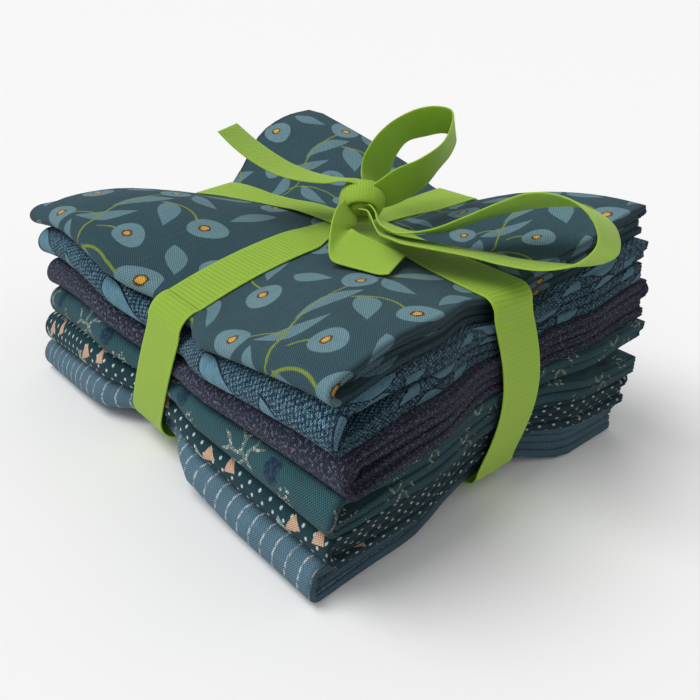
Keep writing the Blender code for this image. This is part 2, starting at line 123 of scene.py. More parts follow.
CLOTH_LENGTH = 559.0  # folded in four along X
CLOTH_WIDTH = 457.0  # folded in four along Y
PLY = 0.30  # thickness of the cotton
THIN_STRIP, THICK_STRIP = 1.56, 2.5  # the four-ply strip, pressed flat and lying loose
OUTER_FOLD, INNER_FOLD = 3.3, 1.1  # cloth that goes round the folds between plies
BETWEEN = 0.24  # from one layer of the strip to the next
HOLLOW = 16.0  # how far the hollow reaches in from the outer fold
CLEAR = 0.2  # what a fat quarter keeps to its share of the gap to the next one
CROWDING = 0.86  # how much closer the points of a layer lie near its two ends, 1 being the most
PLY_COLUMNS = 30  # points along each ply
STRIP_ROWS = 26  # points along each layer of the strip
U_STEPS = 7  # points round a ply's fold
NOSE_ROWS = 14  # points round the outer fold of the strip
TUCK_ROWS = 8  # points round an inner fold of the strip

RIBBON_THICKNESS = 0.5
RIB = 1.27  # from one rib of the grosgrain to the next
ROWS_PER_RIB = 4
RIB_DEPTH = 0.32  # share of the ribbon's thickness
UPRIGHT_RIBS = 0.3  # how much of the ribs shows where the ribbon stands upright, in relief and in the painted shade of their valleys, which stands in for light from above
SELVEDGE = 0.9  # width of the ribbon's woven edge
RIB_START = 0.4  # share of the woven edge where the ribs start to rise
EDGE_ROUND = 0.28  # how far in from its edge the ribbon rounds
EDGE_LEAST = 0.12  # how thick it is at the very edge, as the square of a share
TURN_STEPS = 12  # points round each corner of the bundle
LEG_STEPS = 24  # points down a side
FACE_STEPS = 90  # points along the top and along the underside


# ---------------- the cushioned shape of the bundle

def share(distance, half):
    return np.clip(distance / half, -1.0, 1.0)


def line_at(top, under, legs, a, down):
    """Where a turn of ribbon lies across its own line, a share down from the top to the underside."""
    on_top = top.middle + top.slope * a + top.bow * a * a
    below = under.middle + under.slope * a + under.bow * a * a
    lean = np.where(a > 0, legs[1].lean, legs[0].lean) * np.sin(pi * down) * a * a
    return on_top * (1 - down) + below * down + lean


def wrap_x(y, down):
    return line_at(FRONT_BACK_TOP, FRONT_BACK_UNDER, (LEG_FRONT, LEG_BACK), share(y, HALF_DEPTH), down)


def wrap_y(x, down):
    return line_at(LEFT_RIGHT_TOP, LEFT_RIGHT_UNDER, (LEG_REAR, LEG_SIDE), share(x, HALF_LENGTH), down)


def leg_out(leg, down):
    return leg.top + (leg.under - leg.top) * down + leg.bulge * np.sin(pi * down)


def leg_at(leg, index):
    """How far out the ribbon lets one fat quarter reach. The top and bottom ones stay in its corners."""
    top, low = getattr(SURFACES[0], leg.face), getattr(SURFACES[-1], leg.face)
    upper, lower = getattr(SURFACES[index], leg.face), getattr(SURFACES[index + 1], leg.face)
    straight = top - low - 2 * leg.turn
    out = min(leg_out(leg, max(0.0, min(1.0, (top - leg.turn - z) / straight))) for z in (upper, lower))
    return out - (leg.room if upper == top or lower == low else 0.0)


def groove(distance, reach):
    """1 beside the ribbon, falling smoothly to 0 where it no longer draws the edges in."""
    away = np.clip((np.abs(distance) - RIBBON_WIDTH / 2 - EDGE_ROOM) / reach, 0.0, 1.0)
    return 0.5 * (1 + np.cos(pi * away))


def held(distance, reach, power):
    """1 under the ribbon, falling to 0 where the cloth swells to its full height."""
    away = np.clip((np.abs(distance) - PRESSED) / reach, 0.0, 1.0)
    return (1 - away) ** power


def by_quarter(right_side, back_side, left, near, far, right):
    """For each point, the value of the quarter of the packet that it's in."""
    front = np.where(right_side, near, left)
    back = np.where(right_side, right, far)
    return np.where(back_side, back, front)


def height(index, x, y):
    """Height of one of the seven surfaces between the fat quarters."""
    row = SURFACES[index]
    down = index / (len(SURFACES) - 1)
    from_wrap_x = x - wrap_x(y, down)
    from_wrap_y = y - wrap_y(x, down)
    right_side, back_side = from_wrap_x > 0, from_wrap_y > 0
    corner = by_quarter(right_side, back_side, row.left, row.near, row.far, row.right)
    swells = [
        by_quarter(right_side, back_side, *(getattr(SWELLS[name], part) for name in SWELLS))
        for part in Swell._fields
    ]
    on_x = held(from_wrap_x, swells[0] * row.reach, swells[1])
    on_y = held(from_wrap_y, swells[2] * row.reach, swells[3])
    fall_x = np.abs(share(from_wrap_x, HALF_LENGTH)) ** FALL_POWER
    fall_y = np.abs(share(from_wrap_y, HALF_DEPTH)) ** FALL_POWER
    end = np.where(right_side, row.side, row.rear)
    face = np.where(back_side, row.back, row.front)
    along = (end - row.centre) * fall_x + (face - row.centre) * fall_y
    swell = (corner - end - face + row.centre) * (1 - on_x) * (1 - on_y)
    return np.maximum(row.centre + along + swell, 0.0)


def plan(index, s, t):
    """Table position of a point of one fat quarter, from its shares of the way from the ribbon."""
    row = OUTLINES[index]
    down = (index + 0.5) / len(OUTLINES)
    low_x = (row.left_x * (1 - t) + row.far_x * (1 + t)) / 2
    high_x = (row.near_x * (1 - t) + row.right_x * (1 + t)) / 2
    high_x = high_x + np.where(t < 0, row.belly * (1 - t * t), 0.0)
    low_y = (row.left_y * (1 - s) + row.near_y * (1 + s)) / 2
    high_y = (row.far_y * (1 - s) + row.right_y * (1 + s)) / 2
    pull_y = groove(t * HALF_DEPTH, END_REACH)
    pull_x = groove(s * HALF_LENGTH, FACE_REACH)
    inside = RIBBON_THICKNESS / 2 + CLEAR
    low_x = pressed(low_x, inside - leg_at(LEG_REAR, index), pull_y)
    high_x = pressed(high_x, leg_at(LEG_SIDE, index) - inside, pull_y)
    low_y = pressed(low_y, inside - leg_at(LEG_FRONT, index) + row.nose + THIN_STRIP / 2, pull_x)
    high_y = pressed(high_y, leg_at(LEG_BACK, index) - inside - THIN_STRIP / 2, pull_x)
    x = stretch(s, wrap_x(t * HALF_DEPTH, down), low_x, high_x, HALF_LENGTH)
    y = stretch(t, wrap_y(s * HALF_LENGTH, down), low_y, high_y, HALF_DEPTH)
    return x, y


def pressed(edge, limit, pull):
    """An edge of the cloth, moved to the ribbon's inner face as far as the ribbon pulls there."""
    return edge * (1 - pull) + limit * pull


def stretch(s, line, low, high, half):
    """The middle of the packet keeps its place, and the outer half stretches to its own edge."""
    nominal = np.where(s > 0, half, -half)
    edge = np.where(s > 0, high, low)
    halfway = line + (nominal - line) * 0.5
    inner = line + (nominal - line) * np.abs(s)
    outer = halfway + (edge - halfway) * (np.abs(s) - 0.5) * 2
    return np.where(np.abs(s) <= 0.5, inner, outer)


# ---------------- meshes

def add(name, data):
    thing = bpy.data.objects.new(name, data)
    bpy.context.scene.collection.objects.link(thing)
    return thing


def new_piece(name, points, faces, coords, material, replaced, slot):
    """A mesh from points in mm, with each point's place on the flat cloth, in metres, as its UV."""
    mesh = bpy.data.meshes.new(name)
    mesh.from_pydata(((points - ORIGIN) * MM).tolist(), [], faces)
    layer = mesh.uv_layers.new(name="flat")
    corner_points = np.empty(len(mesh.loops), np.int32)
    mesh.loops.foreach_get("vertex_index", corner_points)
    layer.data.foreach_set("uv", coords[corner_points].astype(np.float32).ravel())
    mesh.materials.append(material)
    mesh.shade_smooth()
    piece = add(name, mesh)
    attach(piece, "root")
    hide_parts(*replaced)
    return piece


def give_points(piece, name, values):
    """A value for each point of the grid that a slab was made from, on both its faces."""
    layer = piece.data.attributes.new(name, "FLOAT", "POINT")
    layer.data.foreach_set("value", np.tile(values.ravel(), 2).astype(np.float32))


def slab(middle, normals, half, flat):
    """A thin closed sheet: points half a thickness to each side of a grid. Returns points, faces, coords."""
    rows, columns = middle.shape[:2]
    upper = middle + normals * half[..., None]
    lower = middle - normals * half[..., None]
    points = np.concatenate([upper.reshape(-1, 3), lower.reshape(-1, 3)])
    coords = np.concatenate([flat.reshape(-1, 2)] * 2)
    number = np.arange(rows * columns).reshape(rows, columns)
    a, b = number[:-1, :-1].ravel(), number[1:, :-1].ravel()
    c, d = number[1:, 1:].ravel(), number[:-1, 1:].ravel()
    under = rows * columns
    faces = [np.stack([a, b, c, d], 1), np.stack([d, c, b, a], 1) + under]
    rim = np.concatenate([number[:, 0], number[-1, 1:], number[-2::-1, -1], number[0, -2::-1]])
    start, end = rim[:-1], rim[1:]
    faces.append(np.stack([end, start, start + under, end + under], 1))
    return points, np.concatenate(faces).tolist(), coords


def unit(vectors):
    return vectors / np.maximum(np.linalg.norm(vectors, axis=-1, keepdims=True), 1e-9)


# ---------------- the fat quarters

def crowded(count):
    """Shares from -1 to 1 that lie closer together towards both ends."""
    return np.sin(np.linspace(-pi / 2, pi / 2, count) * CROWDING) / sin(pi / 2 * CROWDING)


# How far each layer of a strip is drawn in at the side where the folds show, beside the hollow
Layers = namedtuple("Layers", "low inner_low inner_high top")
LAYERS = (
    Layers(0.6, 2.6, 3.2, 0.0),
    Layers(0.2, 0.8, 1.4, 0.0),
    Layers(0.0, 1.2, 0.6, 0.3),
    Layers(0.3, 0.8, 1.6, 0.0),
    Layers(0.5, 1.4, 0.8, 0.0),
    Layers(0.0, 1.6, 1.2, 0.6),
)
FLUSH = 0.35  # share of that beyond the hollow
RIPPLE = 0.10  # how far the layers stray up and down
RIPPLE_PITCH = (41.0, 27.0)
EDGE_STRAY = 0.4  # how far the folded ends stray in and out
STRAY_TURN, STRAY_END_TURN = 2.6, 3.1  # how quickly they do, at the side and at the rear
PHASE_PACKET, PHASE_LAYER = 1.7, 2.5  # what sets the strays of packets and layers apart
END_SHORT = 0.6  # how far short of the back edge the strip's inner end stops
BACK_TUCK = 1.4  # how far in from the back edge the fold there starts
LEAST_TUCK = 0.8  # reach of the inner fold in front
END_DRAW, INNER_DRAW = 1.0, 0.6  # how far the plies' folds are drawn in, and the inner ones besides
NUDGE = 0.002  # share along the packet between points that give the cloth's direction
FOLD_AT = 0.999  # share along the packet where the folds at the side are
INNER_PLY = 0.9  # plies less far off the strip's middle than this share lie between the outer two
FOLD_SHADE_FROM = 0.985  # share along the packet where the painted shade of the folds at its ends begins


def strip_path(index):
    """The strip's own line through its four layers, as arrays: share across, level, nest, past, turn, inset.

    It starts at the inner free end at the back, and ends at the outer one. The level runs from the
    underside (0) to the top (1), and nest is 1 a layer above the level and -1 a layer below it. past is
    how far it lies beyond the packet's edge, and turn is how far round a fold it is.
    """
    layers, nose = LAYERS[index], OUTLINES[index].nose
    across = crowded(STRIP_ROWS)
    rows = []

    def run(shares, level, nest, inset, past_back):
        for t in shares:
            rows.append((t, level, nest, past_back * (t == 1.0), 0.0, inset))

    def turns(count, insets):
        for i in range(1, count):
            angle = pi / 2 - pi * i / count
            f = i / count
            yield sin(angle), cos(angle), insets[0] * (1 - f) + insets[1] * f

    inner_reach = max(nose - THIN_STRIP - BETWEEN, LEAST_TUCK)
    run(across[::-1], 0.0, 1.0, layers.inner_low, -END_SHORT)
    for up, out, inset in turns(TUCK_ROWS, (layers.inner_low, layers.inner_high)):
        rows.append((-1.0, 0.5 - up / 2, up, inner_reach * out, out, inset))
    run(across, 1.0, -1.0, layers.inner_high, 0.0)
    for up, out, inset in turns(TUCK_ROWS, (layers.inner_high, layers.top)):
        rows.append((1.0, 1.0, -0.5 - up / 2, out - BACK_TUCK, out, inset))
    run(across[::-1], 1.0, 0.0, layers.top, 0.0)
    for up, out, inset in turns(NOSE_ROWS, (layers.top, layers.low)):
        rows.append((-1.0, 0.5 + up / 2, 0.0, nose * out, out, inset))
    run(across, 0.0, 0.0, layers.low, 0.0)
    return np.array(rows).T


def strip_points(index, s, path):
    """The middle of the four-ply strip, at shares s along the packet and all along the path.

    The second array is half the strip's thickness there. It lies looser away from the outer fold.
    """
    t, level, nest, past, turn, inset = path
    s, t = np.broadcast_arrays(s[:, None], t[None, :])
    x, y = plan(index, s, t)
    side = np.maximum(0.0, s)
    phase = PHASE_PACKET * index + PHASE_LAYER * (level + nest)
    hollow = np.clip(1 - (t + 1) * HALF_DEPTH / HOLLOW, 0.0, 1.0)
    stray = EDGE_STRAY * (1 - groove(t * HALF_DEPTH, END_REACH))
    drawn_in = inset * (FLUSH + (1 - FLUSH) * hollow) + stray * np.sin(t * STRAY_TURN + phase * 2)
    x = x - drawn_in * side ** 6
    x = x + stray * np.sin(t * STRAY_END_TURN + phase) * np.maximum(0.0, -s) ** 6
    top, base = height(index, x, y) - CLEAR, height(index + 1, x, y) + CLEAR
    thick = np.clip((top - base - 3 * BETWEEN) / 4, THIN_STRIP, THICK_STRIP)
    thick = thick + (THIN_STRIP - thick) * hollow
    layer = thick + BETWEEN
    droop = np.where((t < 0) & (past > 0), OUTLINES[index].droop * side ** 2 * turn / 2, 0.0)
    y = y + np.where(t > 0, past, -past)
    wave = np.sin(x / RIPPLE_PITCH[0] * 2 * pi + phase) * np.cos(y / RIPPLE_PITCH[1] * 2 * pi + phase * 2)
    z = base + thick / 2 + (top - base - thick) * (level - droop) + nest * layer
    z = z + wave * RIPPLE * np.abs(nest)
    return np.stack([x, y, z], -1), thick / 2


def ply_path():
    """Across the strip's four plies: share along, how far off the strip's middle, how far out, flat length.

    The second and third are shares of half the distance between the outer plies.

    The second and third plies join in the inner fold at the side, and the first and fourth in the
    outer one round it. The third and fourth join at the rear, where the first two end free.
    """
    outer, inner = 1.0, 1 / 3
    ends = (-1.0, 1.0)
    run_length = (CLOTH_LENGTH - OUTER_FOLD - 2 * INNER_FOLD) / 4
    along = crowded(PLY_COLUMNS)
    rows = []

    def run(shares, offset, start):
        for s in shares:
            rows.append((s, offset, 0.0, start + run_length * abs(s - shares[0]) / 2))
        return start + run_length

    def fold(s, first, last, start, length):
        middle, radius = (first + last) / 2, (last - first) / 2
        for i in range(1, U_STEPS):
            angle = pi * i / U_STEPS
            out = abs(radius) * sin(angle) * (1 if s > 0 else -1)
            rows.append((s, middle - radius * cos(angle), out, start + length * i / U_STEPS))
        return start + length

    so_far = run(along, -inner, 0.0)
    so_far = fold(ends[1], -inner, inner, so_far, INNER_FOLD)
    so_far = run(along[::-1], inner, so_far)
    so_far = fold(ends[0], inner, outer, so_far, INNER_FOLD)
    so_far = run(along, outer, so_far)
    so_far = fold(ends[1], outer, -outer, so_far, OUTER_FOLD)
    run(along[::-1], -outer, so_far)
    return np.array(rows).T


def flat_lengths(points):
    """Length along each column of a grid, from its first row."""
    steps = np.linalg.norm(np.diff(points, axis=0), axis=-1)
    return np.concatenate([np.zeros((1,) + steps.shape[1:]), np.cumsum(steps, axis=0)])


def fat_quarter(index, material, slot):
    """One cloth of sixteen plies: a strip of four, folded back and forth along its own path."""
    path = strip_path(index)
    s, offset, out, flat_u = ply_path()
    middle, half_strip = strip_points(index, s, path)
    ahead, _ = strip_points(index, np.minimum(s + NUDGE, 1.0), path)
    behind, _ = strip_points(index, np.maximum(s - NUDGE, -1.0), path)
    along_x = unit(ahead - behind)
    along_v = unit(np.gradient(middle, axis=1))
    normal = unit(np.cross(along_v, along_x))
    drawn_in = np.where(s > FOLD_AT, -END_DRAW - INNER_DRAW * (np.abs(offset) < INNER_PLY), 0.0)
    ply_out = (half_strip - PLY / 2)[..., None]
    points = normal * offset[:, None, None] + along_x * (out + drawn_in)[:, None, None]
    points = middle + points * ply_out
    v = flat_lengths(np.swapaxes(middle, 0, 1))[:, len(s) // 2]
    v = v / v[-1] * CLOTH_WIDTH
    flat = np.stack(np.broadcast_arrays(flat_u[:, None], v[None, :]), -1) * MM
    surface_normal = unit(np.cross(np.gradient(points, axis=0), np.gradient(points, axis=1)))
    half = np.full(points.shape[:2], PLY / 2)
    piece = new_piece(
        f"folded_cotton_{index + 1}", *slab(points, surface_normal, half, flat), material,
        (f"fat_quarter_{index + 1}",), slot,
    )
    # painted shade: where the cotton's colour is darkened, in the folds at both ends of the packet
    fold_shaded = np.broadcast_to((np.abs(s) > FOLD_SHADE_FROM)[:, None], points.shape[:2])
    give_points(piece, "painted_fold_shade", fold_shaded)


# ---------------- the ribbon

def smooth_rows(rows, per_span=10):
    """Rows of both edges on smooth curves through the given ones."""
    rows = np.array(rows, float)
    padded = np.concatenate([rows[:1], rows, rows[-1:]])
    found = []
    for i in range(1, len(padded) - 2):
        p = padded[i - 1:i + 3]
        for k in range(per_span):
            f = k / per_span
            found.append(
                0.5 * (
                    2 * p[1] + (p[2] - p[0]) * f
                    + (2 * p[0] - 5 * p[1] + 4 * p[2] - p[3]) * f * f
                    + (3 * p[1] - p[0] - 3 * p[2] + p[3]) * f ** 3
                )
            )
    found.append(rows[-1])
    return np.array(found)


def respaced(rows, step):
    """The same line in even steps of about this length."""
    middle = (rows[:, :3] + rows[:, 3:]) / 2
    so_far = flat_lengths(middle[:, None])[:, 0]
    wanted = np.linspace(0.0, so_far[-1], max(2, round(so_far[-1] / step)) + 1)
    return np.stack([np.interp(wanted, so_far, rows[:, k]) for k in range(6)], 1)


def edge_profile(across):
    """The ribbon's thickness across its width, as a share, and how much of the rib shows there."""
    from_edge = (0.5 - np.abs(across - 0.5)) * RIBBON_WIDTH
    rounded = np.sqrt(np.clip(from_edge / EDGE_ROUND + EDGE_LEAST, 0.0, 1.0))
    ribbed = np.clip((from_edge - SELVEDGE * RIB_START) / SELVEDGE, 0.0, 1.0)
    return rounded, ribbed


ACROSS = np.array((0.0, 0.012, 0.03, 0.06, 0.12, 0.3, 0.5, 0.7, 0.88, 0.94, 0.97, 0.988, 1.0))


# A stretch of the ribbon: its real length, how much of its ribs shows, whether it is a closed turn,
# and from one of its ribs to the next
Stretch = namedtuple("Stretch", "name replaced length held rests_on ribs ring pitch")


def ribbon(stretch, rows, material):
    """A stretch of grosgrain between the two edges that the rows give."""
    rows = respaced(np.array(rows), RIB / ROWS_PER_RIB)
    near, far = rows[:, None, :3], rows[:, None, 3:]
    middle = near + (far - near) * ACROSS[None, :, None]
    grosgrain(stretch, middle, ACROSS, material)


def grosgrain(stretch, middle, across, material):
    """A ribbon along a grid of points, with its ribs in relief. They show most where it lies level, and so
    does the painted shade in their valleys.
    """
    run, pitch = flat_lengths(middle), stretch.pitch
    if stretch.ring:
        whole = run[-1].max()
        run = run / run[-1] * whole
        pitch = whole / round(whole / pitch)
    run = run * RIB / pitch
    normal = unit(np.cross(np.gradient(middle, axis=0), np.gradient(middle, axis=1)))
    rounded, ribbed = edge_profile(across)
    # the ribs and the painted shade in their valleys fade where the ribbon stands upright
    shown = stretch.ribs * (UPRIGHT_RIBS + (1 - UPRIGHT_RIBS) * normal[..., 2] ** 2)
    rib = 0.5 + 0.5 * np.cos(run / RIB * 2 * pi)
    half = RIBBON_THICKNESS / 2 * rounded * (1 - RIB_DEPTH * rib * ribbed * shown)
    flat = np.stack([np.broadcast_to(across * RIBBON_WIDTH, run.shape), run], -1) * MM
    made = slab(middle, normal, half, flat)
    piece = new_piece(stretch.name, *made, material, (stretch.replaced,), "ribbon")
    # how much of the ribs shows, which also sets how much painted shade lies in their valleys
    give_points(piece, "ribs", shown)


def wrap_stops(near_leg, far_leg, over, under):
    """Points round one turn of the ribbon: how far along, how high and what share down each is."""
    near_down, top_start, low_start = leg_stops(near_leg, -1, over, under)
    far_down, top_end, low_end = leg_stops(far_leg, 1, over, under)
    stops = [(along, over(along), 0.0) for along in np.linspace(top_start, top_end, FACE_STEPS)]
    stops += far_down
    stops += [(along, under(along), 1.0) for along in np.linspace(low_end, low_start, FACE_STEPS)]
    stops += near_down[::-1]
    return stops + stops[:1]


def turn_stops(leg, side, out, surface, down):
    """The quarter turn between one of the ribbon's faces and a leg, and where on the face it starts."""
    flat_end = out - leg.turn
    rise = (surface(side * (flat_end + 1)) - surface(side * flat_end)) * (1 - 2 * down)
    tilt = -atan2(rise, 1.0)
    start = out - leg.turn * (1 - sin(tilt))
    level = surface(side * start)
    stops = []
    for i in range(1, TURN_STEPS + 1):
        angle = tilt + (pi / 2 - tilt) * i / TURN_STEPS
        drop = leg.turn * (cos(tilt) - cos(angle)) * (1 - 2 * down)
        stops.append((side * (out - leg.turn * (1 - sin(angle))), level - drop, down))
    return stops, side * start


def leg_stops(leg, side, over, under):
    """The run down one side with both of its turns, and where those start above and below."""
    upper, top_start = turn_stops(leg, side, leg.top, over, 0.0)
    lower, low_start = turn_stops(leg, side, leg.under, under, 1.0)
    ends = (upper[-1][1], lower[-1][1])
    straight = []
    for i in range(1, LEG_STEPS):
        down = i / LEG_STEPS
        straight.append((side * leg_out(leg, down), ends[0] + (ends[1] - ends[0]) * down, down))
    return upper + straight + lower[::-1], top_start, low_start


# How far the knot draws in the ribbon's edges on each of its arms, on the sides of lower and higher X or Y
Draw = namedtuple("Draw", "low high")
DRAW_FRONT, DRAW_BACK = Draw(low=0.0, high=0.0), Draw(low=1.0, high=3.5)
DRAW_REAR, DRAW_SIDE = Draw(low=2.6, high=2.6), Draw(low=3.0, high=0.5)
DRAW_FULL = 25.0  # how far out the arms stay drawn in
DRAW_CHANGE = 10.0  # from one arm's draw to the other's, under the knot


def falling(share_out):
    """1 at 0 or less, falling smoothly to 0 at 1 and beyond."""
    return 0.5 * (1 + cos(pi * min(max(share_out, 0.0), 1.0)))


def edge_offsets(along, down, arms, legs, change):
    """Where the ribbon's two edges are from its middle, at one place along a turn of it."""
    half = RIBBON_WIDTH / 2
    if down > 0.0:
        return -half, half
    leg = legs[1] if along > 0 else legs[0]
    drawn = falling((abs(along) - DRAW_FULL) / (leg.top - leg.turn - DRAW_FULL))
    first = falling((along - change) / DRAW_CHANGE)
    low = (arms[0].low * first + arms[1].low * (1 - first)) * drawn
    high = (arms[0].high * first + arms[1].high * (1 - first)) * drawn
    return low - half, half - high


OVER_CLOTH = 0.1  # between the top fat quarter's share of the height and the ribbon
LIFT = OVER_CLOTH + RIBBON_THICKNESS / 2  # from the bundle's surface to the middle of the ribbon
CROSS_LIFT = 0.8  # how much further the outer turn is where the two cross
CROSS_REACH = 8.4  # half of the way in which it comes down again
UNDER_LIFT = 0.6  # from the bundle's underside to the middle of the ribbon


def lean_of(down, middle, edge):
    """How far an edge of the ribbon is above its middle, as it lies on the swelling cloth."""
    if 0.0 < down < 1.0:
        return 0.0
    index = 0 if down == 0.0 else len(SURFACES) - 1
    return float(height(index, *edge) - height(index, *middle))


def wrap(stretch, material, legs, arms, change, crossing, at):
    """One turn of ribbon round the bundle. at(along, down, off) is a point of it on the table."""
    last = len(SURFACES) - 1

    def over(along):
        return float(height(0, *at(along, 0.0, 0.0)) + LIFT + crossing(along, FRONT_BACK_TOP))

    def under(along):
        return float(height(last, *at(along, 1.0, 0.0)) - UNDER_LIFT - crossing(along, FRONT_BACK_UNDER))

    rows = []
    for along, z, down in wrap_stops(*legs, over, under):
        middle = at(along, down, 0.0)
        edges = [at(along, down, off) for off in edge_offsets(along, down, arms, legs, change)]
        rows.append([value for edge in edges for value in (*edge, z + lean_of(down, middle, edge))])
    ribbon(stretch, rows, material)


FRONT_TO_BACK = Stretch(
    "grosgrain_front_to_back", "ribbon_wrap_front_back", 320.0, "stretched", "folded_cotton_1",
    1.0, True, RIB,
)
SIDE_TO_SIDE = Stretch(
    "grosgrain_side_to_side", "ribbon_wrap_left_right", 370.0, "stretched", "folded_cotton_1",
    1.0, True, RIB,
)


def wrap_front_back(material):
    wrap(
        FRONT_TO_BACK, material, legs=(LEG_FRONT, LEG_BACK), arms=(DRAW_FRONT, DRAW_BACK), change=-12.0,
        crossing=lambda y, line: 0.0,
        at=lambda y, down, off: (float(wrap_x(y, down)) + off, y),
    )


def wrap_left_right(material):
    wrap(
        SIDE_TO_SIDE, material, legs=(LEG_REAR, LEG_SIDE), arms=(DRAW_REAR, DRAW_SIDE), change=2.0,
        crossing=lambda x, line: CROSS_LIFT * groove((x - line.middle) / 2, CROSS_REACH),
        at=lambda x, down, off: (x, float(wrap_y(x, down)) + off),
    )


# The bow. Each row is a line straight across the ribbon, from its near edge to its far one
Row = namedtuple("Row", "near_x near_y near_z far_x far_y far_z")
LOOP_BACK = (
    Row(5.5, 11.0, 68.0, 8.5, 14.0, 63.5),
    Row(3.0, 13.0, 70.5, 3.0, 21.5, 65.0),
    Row(2.5, 14.5, 74.5, 1.0, 27.5, 67.0),
    Row(3.5, 18.0, 80.0, 1.0, 30.0, 72.0),
    Row(6.0, 22.0, 84.5, 2.0, 33.5, 76.0),
    Row(10.0, 26.5, 88.0, 6.0, 37.0, 78.0),
    Row(14.5, 30.0, 89.5, 10.5, 40.0, 79.5),
    Row(19.5, 31.5, 89.0, 14.5, 41.0, 78.5),
    Row(22.0, 29.0, 85.5, 16.0, 37.5, 74.5),
    Row(23.0, 24.5, 81.0, 16.0, 32.5, 70.5),
    Row(21.0, 18.0, 77.0, 15.6, 26.5, 65.4),
    Row(17.4, 12.4, 74.0, 14.6, 18.5, 62.4),
    Row(14.6, 9.0, 70.6, 13.4, 12.0, 61.4),
    Row(12.4, 7.4, 68.2, 11.8, 9.0, 62.4),
)
LOOP_SIDE = (
    Row(14.0, 3.2, 64.0, 13.5, 4.5, 62.5),
    Row(16.7, 3.3, 64.9, 15.8, 6.0, 61.0),
    Row(19.9, 2.3, 64.1, 18.0, 6.6, 60.2),
    Row(22.5, 0.6, 62.8, 20.5, 7.5, 59.6),
    Row(26.6, -1.5, 62.4, 23.8, 8.2, 59.2),
    Row(34.0, -3.0, 63.0, 29.0, 10.0, 59.0),
    Row(41.5, 0.5, 65.5, 37.0, 13.5, 61.0),
    Row(48.5, 4.0, 70.0, 44.0, 17.5, 65.5),
    Row(55.5, 7.5, 75.0, 52.0, 21.5, 69.5),
    Row(62.5, 10.5, 79.0, 60.5, 24.5, 72.5),
    Row(70.5, 12.5, 79.5, 69.0, 26.0, 74.0),
    Row(77.5, 12.0, 77.0, 76.5, 26.0, 71.5),
    Row(81.0, 10.5, 72.0, 79.5, 24.0, 66.0),
    Row(78.5, 7.5, 67.0, 75.5, 21.0, 62.5),
    Row(72.0, 4.0, 64.0, 68.0, 18.0, 61.0),
    Row(63.5, 1.5, 63.0, 59.5, 15.0, 60.0),
    Row(55.0, -1.0, 63.0, 50.5, 12.5, 59.5),
    Row(46.5, -3.5, 62.5, 42.0, 10.0, 59.0),
    Row(38.5, -5.8, 62.0, 33.0, 7.0, 58.6),
    Row(33.4, -5.2, 61.6, 28.0, 5.0, 58.4),
    Row(28.2, -3.8, 61.0, 24.4, 4.2, 58.4),
    Row(24.4, -1.9, 61.6, 21.2, 3.4, 58.6),
    Row(21.0, -0.1, 63.0, 18.4, 3.2, 59.4),
    Row(17.7, 1.5, 63.8, 16.0, 3.8, 61.2),
    Row(14.1, 1.5, 63.3, 13.4, 2.8, 61.9),
)
TAIL_LONG = (
    Row(11.6, 5.6, 68.3, 10.4, 8.4, 68.0),
    Row(8.6, 3.6, 69.3, 6.6, 9.4, 68.5),
    Row(6.0, 1.6, 69.2, 3.0, 9.4, 68.0),
    Row(3.0, -2.0, 68.5, -2.5, 9.0, 67.0),
    Row(-1.0, -7.0, 69.0, -9.5, 5.5, 67.5),
    Row(-7.0, -11.0, 70.0, -15.0, 1.5, 69.5),
    Row(-12.5, -14.5, 72.5, -20.5, -2.0, 72.5),
    Row(-18.0, -17.5, 76.0, -26.0, -5.0, 76.0),
    Row(-22.5, -20.5, 80.5, -30.5, -8.0, 80.0),
)
TAIL_SHORT = (
    Row(9.5, 0.8, 65.0, 11.6, 3.3, 61.3),
    Row(12.1, -4.4, 64.6, 13.8, 1.7, 59.8),
    Row(15.3, -9.0, 63.2, 15.3, 0.0, 58.8),
    Row(19.0, -13.2, 60.6, 15.6, -1.4, 58.3),
    Row(22.9, -17.0, 57.6, 17.6, -3.6, 59.4),
    Row(26.0, -18.5, 56.2, 19.9, -5.4, 60.1),
    Row(30.0, -17.7, 56.0, 22.8, -5.0, 59.5),
    Row(34.6, -16.6, 56.2, 27.0, -3.9, 58.8),
    Row(39.8, -15.8, 56.6, 31.6, -3.3, 58.2),
    Row(42.4, -14.8, 57.4, 35.6, -1.4, 56.9),
)


def strand(name, replaced, length, ribs):
    return Stretch(name, replaced, length, "folded", "bow_knot", ribs, False, RIB)


STRANDS = (
    (strand("bow_loop_back", "ribbon_loop_back", 82.0, 0.5), LOOP_BACK),
    (strand("bow_loop_side", "ribbon_loop_side", 155.0, 0.5), LOOP_SIDE),
    (strand("bow_tail_long", "ribbon_tail_long", 52.0, 0.5), TAIL_LONG),
    (strand("bow_tail_short", "ribbon_tail_short", 37.0, 0.3), TAIL_SHORT),
)
# The knot: a puckered turn of ribbon round the crossing, over the gathered ribbon inside it
KNOT = np.array((10.45, 6.55, 63.95))
KNOT_AXIS = (0.66, -0.67, -0.34)
KNOT_WIDE, KNOT_TALL, KNOT_HALF = 6.2, 5.3, 5.6
KNOT_RIB = 0.85  # its ribs are squeezed together
BOW_KNOT = Stretch(
    "bow_knot", "ribbon_knot", 42.0, "gathered", "grosgrain_side_to_side", 1.0, True, KNOT_RIB,
)
KNOT_STEPS = 164
KNOT_PUCKER, KNOT_LUMP, KNOT_WANDER = 0.035, 0.04, 0.05  # shares by which it is pulled out of shape
